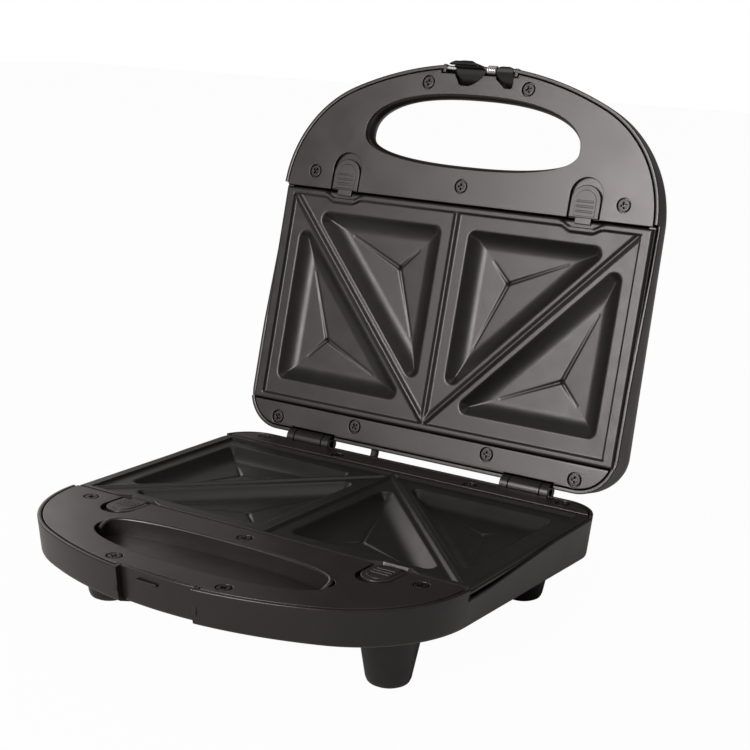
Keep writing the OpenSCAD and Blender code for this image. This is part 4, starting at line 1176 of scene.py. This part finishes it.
def material(name, colour, roughness, specular=0.5, metallic=0.0, coat=0.0, mottle=0.1, mottle_scale=60.0,
             grain=0.0, grain_scale=2500.0):
    """Procedural finish: colour with slow mottle, roughness patches and a fine moulded grain."""
    m = bpy.data.materials.new(name)
    m.use_nodes = True
    nodes, links = m.node_tree.nodes, m.node_tree.links
    shader = nodes["Principled BSDF"]
    shader.inputs["Metallic"].default_value = metallic
    shader.inputs["Specular IOR Level"].default_value = specular
    shader.inputs["Coat Weight"].default_value = coat
    shader.inputs["Coat Roughness"].default_value = COAT_ROUGHNESS
    coords = nodes.new("ShaderNodeTexCoord")
    patches = noise(m.node_tree, coords, mottle_scale, PATCH_DETAIL)
    mix = nodes.new("ShaderNodeMix")
    mix.data_type = "RGBA"
    mix.inputs["A"].default_value = (*[c * (1 - mottle) for c in colour], 1)
    mix.inputs["B"].default_value = (*[min(c * (1 + mottle), 1) for c in colour], 1)
    links.new(patches.outputs["Fac"], mix.inputs["Factor"])
    links.new(mix.outputs["Result"], shader.inputs["Base Color"])
    spread_node = nodes.new("ShaderNodeMapRange")
    spread_node.inputs["To Min"].default_value = max(roughness - ROUGH_SPREAD, LEAST_ROUGHNESS)
    spread_node.inputs["To Max"].default_value = roughness + ROUGH_SPREAD
    links.new(patches.outputs["Fac"], spread_node.inputs["Value"])
    links.new(spread_node.outputs["Result"], shader.inputs["Roughness"])
    if grain:
        fine = noise(m.node_tree, coords, grain_scale, GRAIN_DETAIL)
        bump_node = nodes.new("ShaderNodeBump")
        bump_node.inputs["Strength"].default_value = grain
        bump_node.inputs["Distance"].default_value = GRAIN_HEIGHT
        links.new(fine.outputs["Fac"], bump_node.inputs["Height"])
        links.new(bump_node.outputs["Normal"], shader.inputs["Normal"])
    return m


case_plastic = material("case_plastic", (0.006, 0.0052, 0.0048), 0.32, grain=0.06)
deck_plastic = material("deck_plastic", (0.012, 0.0105, 0.0095), 0.33, mottle=0.05, grain=0.08)
non_stick = material("non_stick_coating", (0.008, 0.0073, 0.007), 0.36, specular=0.42,
                     mottle_scale=120, grain=0.15, grain_scale=1800)
clip_plastic = material("clip_plastic", (0.012, 0.0105, 0.0098), 0.38, mottle=0.06, grain=0.08)
latch_plastic = material("latch_plastic", (0.004, 0.0036, 0.0032), 0.42, specular=0.3, grain=0.06)
foot_plastic = material("foot_plastic", (0.007, 0.006, 0.0058), 0.36, grain=0.06)
screw_steel = material("screw_steel", (0.035, 0.033, 0.031), 0.4, metallic=1.0, mottle=0.12,
                       mottle_scale=900)
pin_steel = material("pin_steel", (0.6, 0.6, 0.6), 0.22, metallic=1.0, mottle=0.04, mottle_scale=700)
spring_steel = material("spring_steel", (0.5, 0.5, 0.5), 0.3, metallic=1.0, mottle=0.05, mottle_scale=700)
sheet_steel = material("sheet_steel", (0.6, 0.6, 0.61), 0.25, metallic=1.0, mottle=0.08, mottle_scale=90,
                       grain=0.05, grain_scale=300)
heater_steel = material("heater_steel", (0.25, 0.24, 0.23), 0.45, metallic=1.0, mottle=0.2,
                        mottle_scale=200)
ceramic = material("ceramic", (0.75, 0.72, 0.65), 0.6, mottle=0.04, mottle_scale=300, grain=0.2)
wire_sleeve = material("wire_sleeve", (0.62, 0.6, 0.55), 0.7, mottle=0.08, mottle_scale=400, grain=0.3)
black_rubber = material("black_rubber", (0.018, 0.017, 0.016), 0.7, mottle=0.15, mottle_scale=200,
                        grain=0.4)
brass = material("brass", (0.55, 0.4, 0.2), 0.35, metallic=1.0, mottle_scale=200)
nylon = material("nylon", (0.7, 0.67, 0.6), 0.55, mottle=0.04, grain=0.2)
red_lens = material("red_lens", (0.45, 0.02, 0.015), 0.15, coat=0.5, mottle=0.08, mottle_scale=300)
green_lens = material("green_lens", (0.02, 0.3, 0.05), 0.15, coat=0.5, mottle=0.08, mottle_scale=300)
lamp_glass = material("lamp_glass", (0.75, 0.6, 0.5), 0.1, mottle=0.05, mottle_scale=300)

# Finishes of the CAD parts that stay visible: on both halves, and one by one
KEPT_TWICE = {
    "reflector": sheet_steel, "heater": heater_steel, "heater_bushes": ceramic,
    "heater_saddles": sheet_steel, "wiring": wire_sleeve, "clip_springs": spring_steel,
}
KEPT = {f"{half}_{node}": finish for half in PLACE for node, finish in KEPT_TWICE.items()}
KEPT |= {
    "thermostat": brass, "thermal_fuse": ceramic, "terminal_block": nylon, "cord_gland": black_rubber,
    "foot_pads": black_rubber, "foot_screws": screw_steel, "hinge_pin_left": pin_steel,
    "hinge_pin_right": pin_steel, "hinge_lead": black_rubber, "power_lens": red_lens,
    "ready_lens": green_lens, "power_lamp": lamp_glass, "ready_lamp": lamp_glass,
    "latch_pin": pin_steel, "latch_spring": spring_steel,
}


def dress_nodes():
    """Give the CAD parts that stay visible their finishes."""
    for node, finish in KEPT.items():
        mesh = frame["nodes"][node].data
        mesh.materials.clear()
        mesh.materials.append(finish)


# ---- Camera, floor and light ----

# Camera fitted to the photograph: place from the hinge in millimetres, turns in degrees
CAMERA_U = 400.24
CAMERA_Y = -683.45
CAMERA_Z = 239.3
YAW = 32.01
PITCH = -13.63
ROLL = 2.4
FOCAL_PX = 1548.21
FRAME_PX = 750
SENSOR_MM = 36
CAMERA_REACH = 20
FLOOR_HALF = 4.0
FLOOR_COLOUR = (0.62, 0.62, 0.62, 1)
FLOOR_WHITE = 0.97
LIGHT_COLOUR = (1.0, 0.94, 0.93)
WORLD_COLOUR = (1.0, 0.93, 0.92, 1)
WORLD_STRENGTH = 0.2
WORLD_WHITE = 1.0


def add_camera():
    """Camera at the photograph's viewing angle."""
    place = np.array([CAMERA_U, HINGE[1] + CAMERA_Y, HINGE[2] + CAMERA_Z])
    yaw, pitch, roll = radians(YAW), radians(PITCH), radians(ROLL)
    forward = Vector((-sin(yaw) * cos(pitch), cos(yaw) * cos(pitch), sin(pitch)))
    right = forward.cross(Vector((0, 0, 1))).normalized()
    up = right.cross(forward)
    r = right * cos(roll) + up * sin(roll)
    u = up * cos(roll) - right * sin(roll)
    data = bpy.data.cameras.new("camera")
    data.sensor_width = SENSOR_MM
    data.lens = SENSOR_MM * FOCAL_PX / FRAME_PX
    data.clip_end = CAMERA_REACH
    camera = bpy.data.objects.new("camera", data)
    rotation = Matrix((r, u, -forward)).transposed().to_4x4()
    camera.matrix_world = Matrix.Translation(Vector(place * MM)) @ rotation
    bpy.context.scene.collection.objects.link(camera)
    bpy.context.scene.camera = camera


def white_to_camera(tree, lit, white_kind, share, output):
    """Let the camera see a share of a lit surface or world as plain white."""
    nodes, links = tree.nodes, tree.links
    white = nodes.new(white_kind)
    white.inputs["Color"].default_value = (1, 1, 1, 1)
    white.inputs["Strength"].default_value = 1.0
    rays = nodes.new("ShaderNodeLightPath")
    scale = nodes.new("ShaderNodeMath")
    scale.operation = "MULTIPLY"
    scale.inputs[1].default_value = share
    mix = nodes.new("ShaderNodeMixShader")
    links.new(rays.outputs["Is Camera Ray"], scale.inputs[0])
    links.new(scale.outputs["Value"], mix.inputs["Fac"])
    links.new(lit.outputs[0], mix.inputs[1])
    links.new(white.outputs[0], mix.inputs[2])
    links.new(mix.outputs["Shader"], output.inputs["Surface"])


def floor_material():
    """Matt floor that the camera sees mostly as plain white."""
    m = bpy.data.materials.new("floor_white")
    m.use_nodes = True
    nodes = m.node_tree.nodes
    nodes.clear()
    output = nodes.new("ShaderNodeOutputMaterial")
    matt = nodes.new("ShaderNodeBsdfDiffuse")
    matt.inputs["Color"].default_value = FLOOR_COLOUR
    white_to_camera(m.node_tree, matt, "ShaderNodeEmission", FLOOR_WHITE, output)
    return m


def add_floor():
    mesh = bpy.data.meshes.new("floor")
    s = FLOOR_HALF
    mesh.from_pydata([(-s, -s, 0), (s, -s, 0), (s, s, 0), (-s, s, 0)], [], [(0, 1, 2, 3)])
    mesh.materials.append(floor_material())
    floor = bpy.data.objects.new("floor", mesh)
    bpy.context.scene.collection.objects.link(floor)


def add_light(name, place, target, size, power):
    data = bpy.data.lights.new(name, "AREA")
    data.shape = "RECTANGLE"
    data.size, data.size_y = size
    data.energy = power
    data.color = LIGHT_COLOUR
    light = bpy.data.objects.new(name, data)
    light.location = place
    light.rotation_euler = (Vector(target) - Vector(place)).to_track_quat("-Z", "Y").to_euler()
    bpy.context.scene.collection.objects.link(light)


def add_world():
    """Dim studio light that the camera sees as plain white."""
    world = bpy.data.worlds.new("studio")
    world.use_nodes = True
    nodes = world.node_tree.nodes
    background = nodes["Background"]
    background.inputs["Color"].default_value = WORLD_COLOUR
    background.inputs["Strength"].default_value = WORLD_STRENGTH
    output = nodes["World Output"]
    white_to_camera(world.node_tree, background, "ShaderNodeBackground", WORLD_WHITE, output)
    bpy.context.scene.world = world


def build():
    add_camera()
    base_cover()
    lid_cover()
    base_frame()
    steam_guard()
    lid_frame()
    for half in PLACE:
        plate(f"{half}_hot_plate", half, f"{half}_plate")
    for half in PLACE:
        screws(f"{half}_frame_screws", half, f"{half}_screws")
    for half in PLACE:
        for side, word in ((-1, "left"), (1, "right")):
            clip(f"{half}_release_clip_{word}", half, side, f"{half}_clip_{word}")
    latch()
    for node, place in FEET.items():
        foot(node, place)
    dress_nodes()
    add_floor()
    add_world()
    add_light("front", (-0.35, -1.9, 0.85), (0, 0, 0.15), (0.95, 1.1), 58)
    add_light("left", (-1.7, 0.9, 0.9), (0, 0, 0.1), (1.0, 1.2), 6)
    add_light("top", (0.2, 0.2, 2.0), (0, 0, 0.1), (1.4, 1.4), 6)


build()
bpy.context.scene.view_settings.view_transform = "Standard"
